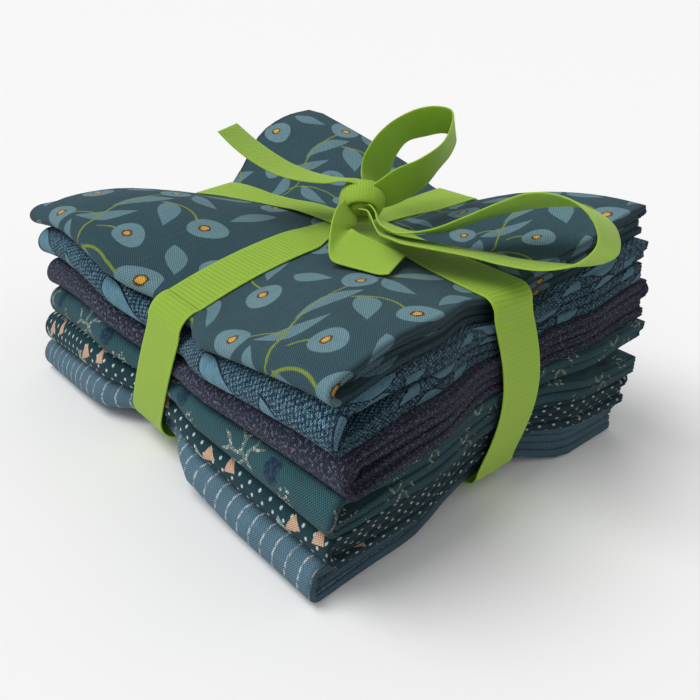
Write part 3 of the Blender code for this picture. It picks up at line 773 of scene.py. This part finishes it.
# Across the band, from the back to the front: how far along the knot's axis and how far out, as shares
Lap = namedtuple("Lap", "along out")
KNOT_SECTION = (
    Lap(-0.80, 0.08),
    Lap(-0.98, 0.32),
    Lap(-0.92, 0.62),
    Lap(-0.62, 0.88),
    Lap(-0.20, 0.96),
    Lap(0.20, 1.00),
    Lap(0.55, 0.94),
    Lap(0.82, 0.83),
    Lap(0.92, 0.72),
    Lap(0.78, 0.62),
    Lap(0.66, 0.54),
    Lap(0.80, 0.44),
    Lap(0.92, 0.28),
    Lap(0.90, 0.08),
)


def knot(material):
    forward = unit(np.array(KNOT_AXIS))
    right = unit(np.cross((0.0, 0.0, 1.0), -forward))
    upward = np.cross(right, -forward)
    section = smooth_rows(KNOT_SECTION, 4)
    along, out = section.T
    width = np.linspace(0.0, 1.0, len(section))
    middle = []
    for angle in np.linspace(pi, -pi, KNOT_STEPS + 1):
        pucker = 1 + KNOT_PUCKER * np.sin(9 * width + 1.8 * sin(angle)) + KNOT_LUMP * sin(2 * angle + 0.8)
        across = right * (KNOT_WIDE * cos(angle)) + upward * (KNOT_TALL * sin(angle))
        shift = KNOT_HALF * (along + KNOT_WANDER * out * sin(3 * angle))
        middle.append(KNOT + across[None, :] * (out * pucker)[:, None] + forward[None, :] * shift[:, None])
    grosgrain(BOW_KNOT, np.array(middle), width, material)


# ---------------- materials

class Graph:
    """Short names for the shader nodes of one material, and the place on the flat cloth, in mm."""

    def __init__(self, tree):
        self.tree = tree
        coords = self.node("UVMap", uv_map="flat").outputs[0]
        self.place = self.scaled(coords, 1.0 / MM)
        self.x, self.y, _ = self.apart(self.place)

    def node(self, kind, *inputs, **settings):
        made = self.tree.nodes.new("ShaderNode" + kind)
        for name, value in settings.items():
            setattr(made, name, value)
        for socket, value in zip(made.inputs, inputs):
            self.feed(socket, value)
        return made

    def feed(self, socket, value):
        if isinstance(value, bpy.types.NodeSocket):
            self.tree.links.new(value, socket)
        elif value is not None:
            socket.default_value = value

    def fill(self, made, **values):
        for name, value in values.items():
            self.feed(made.inputs[name], value)
        return made

    def math(self, operation, a, b=None, c=None, clamp=False):
        return self.node("Math", a, b, c, operation=operation, use_clamp=clamp).outputs[0]

    def times(self, a, b):
        return self.math("MULTIPLY", a, b)

    def line(self, a, slope, start):
        """a times the slope, plus the start."""
        return self.math("MULTIPLY_ADD", a, slope, start)

    def most(self, values):
        total = values[0]
        for value in values[1:]:
            total = self.math("MAXIMUM", total, value)
        return total

    def below(self, value, limit, soft):
        """1 where the value is under the limit, 0 above it, with a soft edge."""
        gap = self.math("SUBTRACT", limit, value)
        return self.math("MULTIPLY_ADD", gap, 1.0 / soft, 0.5, clamp=True)

    def vector(self, operation, a, b=None, c=None):
        made = self.node("VectorMath", a, b, c, operation=operation)
        return made.outputs["Value" if operation in ("LENGTH", "DOT_PRODUCT") else "Vector"]

    def scaled(self, vector, factor):
        return self.fill(self.node("VectorMath", vector, operation="SCALE"), Scale=factor).outputs["Vector"]

    def turned(self, vector, angle):
        return self.fill(self.node("VectorRotate", vector, rotation_type="Z_AXIS"), Angle=angle).outputs[0]

    def apart(self, vector):
        return self.node("SeparateXYZ", vector).outputs

    def together(self, x, y, z=0.0):
        return self.node("CombineXYZ", x, y, z).outputs[0]

    def stretched(self, across, along):
        """The place with its two coordinates scaled apart."""
        return self.together(self.times(self.x, across), self.times(self.y, along))

    def attribute(self, name):
        return self.node("Attribute", attribute_name=name).outputs["Fac"]

    def noise(self, scale, detail=2.0, roughness=0.5, at=None):
        made = self.node("TexNoise", at or self.place)
        return self.fill(made, Scale=scale, Detail=detail, Roughness=roughness).outputs[0]

    def cells(self, scale, randomness=1.0, at=None):
        """The distance to the nearest of many scattered points."""
        made = self.node("TexVoronoi", at or self.place)
        return self.fill(made, Scale=scale, Randomness=randomness).outputs[0]

    def mix(self, factor, a, b, blend="MIX"):
        made = self.node("Mix", data_type="RGBA", blend_type=blend)
        self.feed(made.inputs[0], factor)
        self.feed(made.inputs[6], a if isinstance(a, bpy.types.NodeSocket) else (*a, 1.0))
        self.feed(made.inputs[7], b if isinstance(b, bpy.types.NodeSocket) else (*b, 1.0))
        return made.outputs[2]

    def coats(self, colour, *coats):
        """The colour under further ones, each with its own mask."""
        for mask, paint in coats:
            colour = self.mix(mask, colour, paint)
        return colour

    def toned(self, colour, tone):
        return self.mix(1.0, colour, self.together(tone, tone, tone), "MULTIPLY")


def new_material(name, roughness):
    material = bpy.data.materials.new(name)
    material.use_nodes = True
    shader = material.node_tree.nodes["Principled BSDF"]
    shader.inputs["Roughness"].default_value = roughness
    return material, shader


def brighter(colour, factor):
    return tuple(factor * c for c in colour)


Finish = namedtuple("Finish", "roughness sheen through")
COTTON = Finish(roughness=0.92, sheen=0.05, through=0.0)
GROSGRAIN = Finish(roughness=0.6, sheen=0.1, through=0.5)
SHEEN_ROUGHNESS = 0.5
CLOTH_SPECULAR = 0.15
THROUGH_RADIUS = (1.0, 1.0, 0.4)  # light goes further through the lime ribbon in red and green
THROUGH_DEPTH = 1.5


def cloth_material(name, paint, finish):
    """A material whose colour and relief come from paint(graph) -> colour, height in mm."""
    material, shader = new_material(name, finish.roughness)
    graph = Graph(material.node_tree)
    shader.inputs["Sheen Weight"].default_value = finish.sheen
    shader.inputs["Sheen Roughness"].default_value = SHEEN_ROUGHNESS
    shader.inputs["Specular IOR Level"].default_value = CLOTH_SPECULAR
    shader.inputs["Subsurface Weight"].default_value = finish.through
    shader.inputs["Subsurface Radius"].default_value = THROUGH_RADIUS
    shader.inputs["Subsurface Scale"].default_value = THROUGH_DEPTH * MM
    colour, relief = paint(graph)
    graph.feed(shader.inputs["Base Color"], colour)
    bump = graph.fill(graph.node("Bump"), Strength=1.0, Distance=MM, Height=relief)
    graph.feed(shader.inputs["Normal"], bump.outputs[0])
    return material


THREAD = 0.62  # pitch of the cotton's weave
SLUB_ACROSS, SLUB_ALONG = 2.2, 0.07  # how finely the uneven dye changes across and along a thread
BASE_TONE, WARP_TONE, WEFT_TONE, PATCH_TONE = 0.60, 0.384, 0.256, 0.16
WEAVE_RELIEF, SLUB_RELIEF = 0.06, 0.084
PAINTED_FOLD_SHADE = 0.42  # how much painted shade darkens the cotton in the folds at the packet's ends, where the plies shade each other


def woven(graph, colour, contrast=0.62):
    """Plain weave over a printed colour: threads in relief, with uneven dye and slubs along both ways, and
    painted shade in the folds at the packet's ends.
    """
    across = graph.math("SINE", graph.times(graph.x, 2 * pi / THREAD))
    along = graph.math("SINE", graph.times(graph.y, 2 * pi / THREAD))
    weave = graph.times(across, along)
    warp = graph.noise(1.0, at=graph.stretched(SLUB_ACROSS, SLUB_ALONG))
    weft = graph.noise(1.0, at=graph.stretched(SLUB_ALONG, SLUB_ACROSS))
    tone = graph.line(weave, contrast, BASE_TONE)
    tone = graph.line(warp, WARP_TONE, tone)
    tone = graph.line(weft, WEFT_TONE, tone)
    tone = graph.line(graph.noise(0.06, 3.0), PATCH_TONE, tone)
    # painted shade: the cotton is darkened in the folds at the packet's ends
    tone = graph.times(tone, graph.line(graph.attribute("painted_fold_shade"), -PAINTED_FOLD_SHADE, 1.0))
    relief = graph.line(weave, WEAVE_RELIEF, graph.times(warp, SLUB_RELIEF))
    return graph.toned(colour, tone), relief


# ---- motifs: each gives its masks at one place of a print that repeats by the tile

Motif = namedtuple("Motif", "x y angle size")
Leaf = namedtuple("Leaf", "x y angle length width bend")
Arc = namedtuple("Arc", "x1 y1 x2 y2 bulge")
Blot = namedtuple("Blot", "x y size")
SOFT = 0.25  # width of the blurred edge of leaves and stems
LEAF_POINT = 0.3  # how much is taken off a leaf's half width, so that it ends in a point
LEAF_TAPER = 0.38
STEM_WIDTH = 0.6
BLOOM_RADIUS, RING_RADIUS, CORE_RADIUS = 4.9, 2.05, 1.5
CORE_AT = -1.1  # behind the middle of the bloom
TREE_TOP, TREE_FOOT, TREE_END = 2.3, -1.2, -5.2


def seen_from(graph, tile, x, y, angle=0.0):
    """The place as seen from a motif of the repeating print, turned to the motif's own axis."""
    moved = graph.vector("SUBTRACT", graph.place, (x, y, 0.0))
    half = (tile[0] / 2, tile[1] / 2, 1.0)
    wrapped = graph.vector("WRAP", moved, half, (-half[0], -half[1], -1.0))
    return graph.turned(wrapped, -radians(angle))


def printed(graph, motif, tile, rows, *more):
    """The masks of a motif, each joined for all the rows."""
    masks = zip(*(motif(graph, tile, row, *more) for row in rows))
    return [graph.most(mask) for mask in masks]


def leaf(graph, tile, row):
    """A slender leaf with its tip along +X of its own axis."""
    lx, ly, _ = graph.apart(seen_from(graph, tile, row.x, row.y, row.angle))
    a = graph.times(lx, 2 / row.length)
    square = graph.times(a, a)
    off = graph.math("ABSOLUTE", graph.line(square, row.bend, ly))
    body = graph.math("SUBTRACT", 1.0, square, clamp=True)
    taper = graph.line(a, -LEAF_TAPER, 1.0)
    half = graph.line(graph.times(body, taper), row.width / 2 + LEAF_POINT, -LEAF_POINT)
    return (graph.below(off, half, SOFT),)


def bloom(graph, tile, row):
    """An egg-shaped bloom: its petals, the dark ring and the core."""
    local = seen_from(graph, tile, row.x, row.y, row.angle)
    lx, ly, _ = graph.apart(local)
    egg = graph.together(graph.times(lx, 0.86), graph.times(ly, graph.line(lx, 0.035, 1.08)))
    disc = graph.vector("LENGTH", egg)
    core = graph.vector("LENGTH", graph.vector("SUBTRACT", local, (CORE_AT * row.size, 0.2, 0.0)))
    ragged = graph.line(graph.noise(0.9, 1.0), 0.9, core)
    return (
        graph.below(disc, BLOOM_RADIUS * row.size, 0.3),
        graph.below(ragged, RING_RADIUS * row.size, 0.3),
        graph.below(ragged, CORE_RADIUS * row.size, 0.4),
    )


def stem(graph, tile, row, width=STEM_WIDTH):
    """An arc between two points, bulging to its left by so much."""
    x1, y1, x2, y2, bulge = row
    chord = hypot(x2 - x1, y2 - y1)
    left = ((y1 - y2) / chord, (x2 - x1) / chord)
    radius = (chord ** 2 / 4 + bulge ** 2) / (2 * abs(bulge))
    side = 1 if bulge > 0 else -1
    crown = ((x1 + x2) / 2 + left[0] * bulge, (y1 + y2) / 2 + left[1] * bulge)
    out = (left[0] * side, left[1] * side, 0.0)
    from_middle = graph.vector("ADD", seen_from(graph, tile, *crown), tuple(radius * c for c in out))
    off = graph.math("ABSOLUTE", graph.math("SUBTRACT", graph.vector("LENGTH", from_middle), radius))
    reach = graph.math("GREATER_THAN", graph.vector("DOT_PRODUCT", from_middle, out), radius - abs(bulge))
    return (graph.times(graph.below(off, width / 2, SOFT), reach),)


def spot(graph, tile, row):
    """A round spot with a ragged edge."""
    away = graph.vector("LENGTH", seen_from(graph, tile, row.x, row.y))
    ragged = graph.line(graph.noise(0.5, 2.0), row.size * 0.9, away)
    return (graph.below(ragged, row.size * 1.3, 0.6),)


def tree(graph, tile, row):
    """A pointed crown on a short splayed foot."""
    lx, ly, _ = graph.apart(seen_from(graph, tile, row.x, row.y, row.angle))
    off = graph.math("ABSOLUTE", ly)
    crown = graph.below(off, graph.line(lx, -0.45, TREE_TOP * row.size), 0.3)
    foot = graph.below(off, graph.line(lx, -0.36, -0.3), 0.3)
    crown = graph.times(crown, graph.math("GREATER_THAN", lx, TREE_FOOT * row.size))
    foot = graph.times(foot, graph.math("LESS_THAN", lx, TREE_FOOT * row.size))
    return crown, graph.times(foot, graph.math("GREATER_THAN", lx, TREE_END * row.size))


# ---- the top print: round blooms, slender leaves and branching stems on a dark teal ground

FLORAL_TILE = (84.0, 76.0)
BLOOMS = (
    Motif(33, 20, 25, 1.0),
    Motif(82, 38, 160, 0.95),
    Motif(38, 53, 40, 1.05),
    Motif(22, 68, 110, 0.9),
    Motif(77, 10, -30, 1.0),
    Motif(71, 59, 60, 0.95),
    Motif(44, 36, 200, 0.85),
    Motif(68, 28, 10, 0.9),
    Motif(48, 3, 200, 0.95),
    Motif(8, 20, 130, 0.9),
    Motif(5, 55, 70, 1.0),
)
LEAVES = (
    Leaf(20, 8, 60, 19, 5.4, 1.6),
    Leaf(24, 32, 15, 20, 4.6, -1.8),
    Leaf(10, 37, 120, 16, 6.0, 1.2),
    Leaf(29, 43, -40, 15, 5.0, -1.0),
    Leaf(24, 55, 80, 17, 5.6, 1.4),
    Leaf(12, 70, 150, 17, 4.6, -1.4),
    Leaf(52, 16, 100, 19, 5.0, 1.5),
    Leaf(64, 14, 35, 16, 6.0, -1.2),
    Leaf(56, 28, -60, 18, 4.8, 1.5),
    Leaf(56, 45, 75, 20, 5.4, -2.0),
    Leaf(70, 43, 20, 18, 4.6, 1.6),
    Leaf(56, 66, 130, 17, 5.8, 1.2),
    Leaf(38, 69, 30, 16, 4.6, -1.0),
    Leaf(77, 72, 100, 15, 5.4, 1.0),
    Leaf(83, 26, 50, 14, 4.8, -1.0),
    Leaf(60, 1, 10, 17, 4.8, 1.4),
    Leaf(36, 8, -15, 13, 5.0, 0.8),
)
STEMS = (
    Arc(8, 0, 17, 38, -5),
    Arc(17, 38, 8, 76, 5),
    Arc(14, 10, 28, 18, 3),
    Arc(17.6, 30, 8, 24, 2),
    Arc(18, 38, 33, 50, -4),
    Arc(17, 48, 7, 52, 2.5),
    Arc(50, 0, 60, 38, 4),
    Arc(60, 38, 50, 76, -4),
    Arc(55, 30, 48, 35, 2),
    Arc(56, 12, 73, 11, -3),
    Arc(58, 44, 78, 39, -4),
    Arc(58, 52, 67, 57, 2),
    Arc(60, 33, 66, 29, -1.5),
    Arc(12, 70, 20, 67, -1.5),
)
FLORAL_GROUND = (0.026, 0.061, 0.077)
FLORAL_PETAL = (0.125, 0.225, 0.262)
FLORAL_LEAF = (0.100, 0.190, 0.225)
FLORAL_STEM = (0.185, 0.240, 0.035)
FLORAL_RING = (0.060, 0.028, 0.010)
FLORAL_CORE = (0.600, 0.330, 0.060)


def paint_floral(graph):
    (stems,) = printed(graph, stem, FLORAL_TILE, STEMS)
    (leaves,) = printed(graph, leaf, FLORAL_TILE, LEAVES)
    petals, rings, cores = printed(graph, bloom, FLORAL_TILE, BLOOMS)
    wash = graph.line(graph.noise(0.25, 3.0), 0.6, 0.1)
    colour = graph.coats(
        graph.mix(wash, FLORAL_GROUND, brighter(FLORAL_GROUND, 1.35)),
        (leaves, graph.mix(wash, FLORAL_LEAF, FLORAL_PETAL)),
        (stems, FLORAL_STEM),
        (petals, FLORAL_PETAL),
        (rings, FLORAL_RING),
        (cores, FLORAL_CORE),
    )
    return woven(graph, colour)


# ---- the second print: pale leaves on a ground of small broken scales

SCALE_TILE = (46.0, 42.0)
SCALE_LEAVES = (
    Leaf(9, 8, 20, 16, 5.6, 1.8),
    Leaf(30, 13, 70, 15, 5.2, -1.6),
    Leaf(14, 27, -35, 17, 5.8, 1.8),
    Leaf(37, 33, 10, 15, 5.4, 1.5),
    Leaf(3, 38, 100, 14, 5.0, -1.4),
)
SCALE_OUTLINE = 1.0
SCALE_FLOW = 2.0  # how far the rows of scales wander
SCALE_TURN = radians(24)
SCALE_DARK = (0.006, 0.022, 0.042)
SCALE_LIGHT = (0.150, 0.300, 0.385)
SCALE_LEAF = (0.065, 0.160, 0.215)


def paint_scallop(graph):
    wander = graph.node("TexNoise", graph.place).outputs[1]
    flow = graph.vector("ADD", graph.place, graph.scaled(wander, SCALE_FLOW))
    x, y, _ = graph.apart(graph.turned(flow, SCALE_TURN))
    squeezed = graph.together(graph.times(x, 0.95), graph.times(y, 1.10))
    fleck = graph.below(graph.cells(1.0, 0.22, squeezed), 0.31, 0.10)
    (leaves,) = printed(graph, leaf, SCALE_TILE, SCALE_LEAVES)
    wider = [
        row._replace(length=row.length + SCALE_OUTLINE, width=row.width + SCALE_OUTLINE)
        for row in SCALE_LEAVES
    ]
    (outlines,) = printed(graph, leaf, SCALE_TILE, wider)
    colour = graph.coats(
        graph.mix(fleck, SCALE_DARK, SCALE_LIGHT),
        (outlines, brighter(SCALE_DARK, 0.5)),
        (leaves, graph.mix(graph.noise(0.5), SCALE_LEAF, SCALE_LIGHT)),
    )
    return woven(graph, colour)


# ---- the third print: fine speckle on dark plum navy

SPECKLE_NAVY = (0.016, 0.017, 0.034)
SPECKLE_BLUE = (0.022, 0.030, 0.052)
SPECKLE_PALE = (0.150, 0.152, 0.225)
SPECKLE_WARM = (0.055, 0.042, 0.052)


def paint_speckle(graph):
    grain = graph.noise(1.3, 4.0, 0.75)
    pale = graph.below(graph.math("SUBTRACT", 1.0, grain), 0.43, 0.10)
    warm = graph.below(graph.noise(0.9, 3.0, 0.7), 0.36, 0.06)
    colour = graph.coats(
        graph.mix(graph.noise(0.28, 2.0), SPECKLE_NAVY, SPECKLE_BLUE),
        (pale, SPECKLE_PALE),
        (graph.times(warm, 0.5), SPECKLE_WARM),
    )
    return woven(graph, colour)


# ---- the fourth print: cream branching corals and dotted clusters on teal, with blue blots

CORAL_TILE = (36.0, 25.0)
CORAL = (
    Arc(-6.0, 0.0, -0.6, 0.5, 0.5),
    Arc(-0.6, 0.5, 3.0, -1.0, -0.5),
    Arc(3.0, -1.0, 6.4, -0.4, 0.4),
    Arc(3.0, -1.0, 5.2, -3.4, -0.4),
    Arc(-0.6, 0.5, 1.6, 3.4, 0.4),
    Arc(1.6, 3.4, 4.8, 4.0, -0.4),
    Arc(1.6, 3.4, 1.4, 6.2, 0.3),
    Arc(-3.6, 0.4, -3.0, 3.8, -0.5),
    Arc(-3.0, 3.8, -5.0, 5.4, 0.3),
    Arc(-3.0, 3.8, -1.2, 5.8, 0.3),
    Arc(-2.4, 0.5, -0.8, -3.0, -0.4),
    Arc(-0.8, -3.0, 1.4, -4.6, 0.3),
)
CORAL_WIDTH = 0.85


def coral(x, y, angle, size):
    """The twigs of one branching coral, turned and scaled about its middle."""
    across, along = sin(radians(angle)) * size, cos(radians(angle)) * size

    def placed(px, py):
        return x + px * along - py * across, y + px * across + py * along

    return [Arc(*placed(twig.x1, twig.y1), *placed(twig.x2, twig.y2), twig.bulge * size) for twig in CORAL]


CORALS = coral(8, 7, 65, 0.85) + coral(27, 17, 200, 0.9)
CLUSTERS = (Blot(20, 6, 3.2), Blot(8, 20, 3.4), Blot(33, 4, 3.0))
BLOTS = (Blot(17, 11, 2.6), Blot(2, 16, 2.8), Blot(27, 8, 2.2))
CORAL_GROUND = (0.026, 0.074, 0.088)
CORAL_CREAM = (0.470, 0.480, 0.380)
CORAL_BLUE = (0.010, 0.028, 0.062)
CORAL_CONTRAST = 0.85  # of the weave, which shows more in this cotton


def paint_coral(graph):
    (twigs,) = printed(graph, stem, CORAL_TILE, CORALS, CORAL_WIDTH)
    (clusters,) = printed(graph, spot, CORAL_TILE, CLUSTERS)
    (blots,) = printed(graph, spot, CORAL_TILE, BLOTS)
    buds = graph.below(graph.cells(1.5, 0.9), 0.40, 0.16)
    dots = graph.below(graph.cells(1.1, 0.8), 0.36, 0.12)
    speckled = graph.line(graph.below(graph.noise(1.1, 2.0), 0.52, 0.12), 0.45, 0.5)
    colour = graph.coats(
        graph.mix(graph.noise(0.12), CORAL_GROUND, brighter(CORAL_GROUND, 1.3)),
        (graph.times(blots, speckled), CORAL_BLUE),
        (graph.times(clusters, dots), CORAL_CREAM),
        (graph.times(twigs, graph.line(buds, 0.78, 0.22)), CORAL_CREAM),
    )
    return woven(graph, colour, CORAL_CONTRAST)


# ---- the fifth print: white dots on dark teal, with little scalloped trees

DOT_PITCH = 3.6
DOT_ROW = 2.2
DOT_RADIUS = 0.36
TREE_TILE = (30.0, 27.0)
TREES = (Motif(7, 7, 35, 1.35), Motif(22, 12, 250, 1.1), Motif(13, 21, 130, 1.2))
DOT_GROUND = (0.012, 0.044, 0.058)
DOT_WHITE = (0.540, 0.620, 0.600)
TREE_GREEN = (0.200, 0.330, 0.280)
TREE_PEACH = (0.560, 0.370, 0.250)


def paint_dot(graph):
    row = graph.math("FLOOR", graph.math("DIVIDE", graph.y, DOT_ROW))
    odd = graph.times(graph.math("MODULO", row, 2.0), DOT_PITCH / 2)
    staggered = graph.together(graph.math("ADD", graph.x, odd), graph.y)
    local = graph.vector("WRAP", staggered, (DOT_PITCH, DOT_ROW, 1.0), (0.0, 0.0, -1.0))
    off = graph.vector("SUBTRACT", local, (DOT_PITCH / 2, DOT_ROW / 2, 0.0))
    away = graph.vector("LENGTH", graph.vector("MULTIPLY", off, (1.0, 0.75, 0.0)))
    crowns, feet = printed(graph, tree, TREE_TILE, TREES)
    lace = graph.below(graph.cells(0.9), 0.42, 0.15)
    colour = graph.coats(
        graph.mix(graph.below(away, DOT_RADIUS, 0.2), DOT_GROUND, DOT_WHITE),
        (crowns, graph.mix(lace, TREE_GREEN, DOT_WHITE)),
        (feet, TREE_PEACH),
    )
    return woven(graph, colour)


# ---- the sixth print: thin broken white stripes on slate blue

STRIPE_PITCH = 4.3
STRIPE_HALF = 0.26
STRIPE_SLATE = (0.070, 0.140, 0.190)
STRIPE_BLUE = (0.100, 0.180, 0.235)
STRIPE_WHITE = (0.420, 0.480, 0.520)


def paint_stripe(graph):
    across = graph.math("WRAP", graph.x, STRIPE_PITCH / 2, -STRIPE_PITCH / 2)
    wander = graph.line(graph.noise(0.5), 0.5, -0.25)
    line = graph.below(graph.math("ABSOLUTE", graph.math("ADD", across, wander)), STRIPE_HALF, 0.2)
    dash = graph.below(graph.noise(1.0, 3.0, at=graph.stretched(1.6, 0.9)), 0.53, 0.10)
    colour = graph.coats(
        graph.mix(graph.noise(0.2, 3.0), STRIPE_SLATE, STRIPE_BLUE),
        (graph.times(line, dash), STRIPE_WHITE),
    )
    return woven(graph, colour)


# ---- the ribbon

RIBBON_LIME = (0.262, 0.415, 0.038)
# painted shade for the valleys between the ribs
RIBBON_VALLEY_SHADE = (0.190, 0.340, 0.022)
WARP = 0.36  # pitch of the threads that cross the ribs
WARP_RELIEF, VALLEY_RELIEF = 0.018, -0.05


def paint_ribbon(graph):
    """Lime grosgrain: each rib a bundle of weft, finely crossed by the warp, with painted shade in the
    valleys between the ribs, and a plain woven edge.
    """
    rib = graph.line(graph.math("COSINE", graph.times(graph.y, 2 * pi / RIB)), 0.5, 0.5)
    warp = graph.math("SINE", graph.times(graph.x, 2 * pi / WARP))
    from_middle = graph.math("ABSOLUTE", graph.math("SUBTRACT", graph.x, RIBBON_WIDTH / 2))
    selvedge = graph.below(graph.math("SUBTRACT", RIBBON_WIDTH / 2, from_middle), SELVEDGE, 0.2)
    shown = graph.times(graph.math("SUBTRACT", 1.0, selvedge), graph.attribute("ribs"))
    # painted shade in the valleys between the ribs, strongest where the ribbon lies level
    valley_and_shade = graph.times(graph.math("POWER", rib, 3.0), shown)
    colour = graph.coats(
        graph.mix(graph.noise(0.15, 3.0), RIBBON_LIME, brighter(RIBBON_LIME, 1.08)),
        (graph.times(valley_and_shade, 0.75), RIBBON_VALLEY_SHADE),
        (graph.times(selvedge, 0.35), brighter(RIBBON_LIME, 1.15)),
    )
    tone = graph.line(graph.noise(1.0, at=graph.stretched(3.0, 0.8)), 0.16, 0.92)
    relief = graph.line(warp, WARP_RELIEF, graph.times(valley_and_shade, VALLEY_RELIEF))
    return graph.toned(colour, tone), relief


# ---------------- floor, light and camera

FLOOR_REACH = 3.0  # in metres, as the next
FLOOR_BELOW = 0.0002  # how far it lies below the part
FLOOR_GREY = (0.86, 0.86, 0.86)
FLOOR_ROUGHNESS = 0.9
KEY_FROM = (-0.30, -0.42, 0.86)
KEY_STRENGTH = 1.9
KEY_SPREAD = 40.0
SKY_STRENGTH = 0.58


def floor():
    material, shader = new_material("pale_floor", FLOOR_ROUGHNESS)
    shader.inputs["Base Color"].default_value = (*FLOOR_GREY, 1.0)
    mesh = bpy.data.meshes.new("floor")
    z = CAD_BOX[0].z - FLOOR_BELOW
    corners = [(x * FLOOR_REACH, y * FLOOR_REACH, z) for x, y in ((-1, -1), (1, -1), (1, 1), (-1, 1))]
    mesh.from_pydata(corners, [], [(0, 1, 2, 3)])
    mesh.materials.append(material)
    add("floor", mesh)


def key_light():
    """A wide, even light from above, in front and a little to the left."""
    light = bpy.data.lights.new("key_light", "SUN")
    light.angle = radians(KEY_SPREAD)
    light.energy = KEY_STRENGTH
    lamp = add("key_light", light)
    lamp.rotation_mode = "QUATERNION"
    lamp.rotation_quaternion = (-Vector(KEY_FROM)).to_track_quat("-Z", "Y")


def studio():
    world = bpy.data.worlds.new("studio")
    bpy.context.scene.world = world
    world.use_nodes = True
    background = world.node_tree.nodes["Background"]
    background.inputs[0].default_value = (1.0, 1.0, 1.0, 1.0)
    background.inputs[1].default_value = SKY_STRENGTH
    key_light()
    bpy.context.scene.view_settings.view_transform = "Standard"


CAMERA_AT = (158.45, -147.95, 132.7)
CAMERA_BACK = (0.711, -0.624, 0.325)
CAMERA_UP = (-0.272, 0.183, 0.945)
FOCAL_PIXELS = 800.45  # focal length in pixels of the 700-pixel picture
PICTURE = 700.0
AXIS_PIXEL = (307.06, 218.19)  # where the lens points in the picture
SENSOR = 36.0
NEAREST = 0.01  # in metres, what the camera still shows


def camera():
    data = bpy.data.cameras.new("camera")
    data.sensor_width = SENSOR
    data.lens = FOCAL_PIXELS / PICTURE * SENSOR
    data.shift_x = (PICTURE / 2 - AXIS_PIXEL[0]) / PICTURE
    data.shift_y = (AXIS_PIXEL[1] - PICTURE / 2) / PICTURE
    data.clip_start = NEAREST
    back = Vector(CAMERA_BACK).normalized()
    up = Vector(CAMERA_UP)
    up = (up - up.dot(back) * back).normalized()
    turn = Matrix((up.cross(back), up, back)).transposed()
    view = add("camera", data)
    view.matrix_world = Matrix.Translation(Vector(CAMERA_AT) * MM) @ turn.to_4x4()
    bpy.context.scene.camera = view


# ---------------- the whole bundle

PRINTS = (
    ("cotton_floral", paint_floral),
    ("cotton_scallop", paint_scallop),
    ("cotton_speckle", paint_speckle),
    ("cotton_sprig", paint_coral),
    ("cotton_dot", paint_dot),
    ("cotton_stripe", paint_stripe),
)


def bundle():
    for index, (slot, paint) in reversed(tuple(enumerate(PRINTS))):
        fat_quarter(index, cloth_material(slot, paint, COTTON), slot)
    lime = cloth_material("lime_grosgrain", paint_ribbon, GROSGRAIN)
    wrap_front_back(lime)
    wrap_left_right(lime)
    knot(lime)
    for stretch, rows in STRANDS:
        ribbon(stretch, smooth_rows(rows), lime)


floor()
bundle()
studio()
camera()
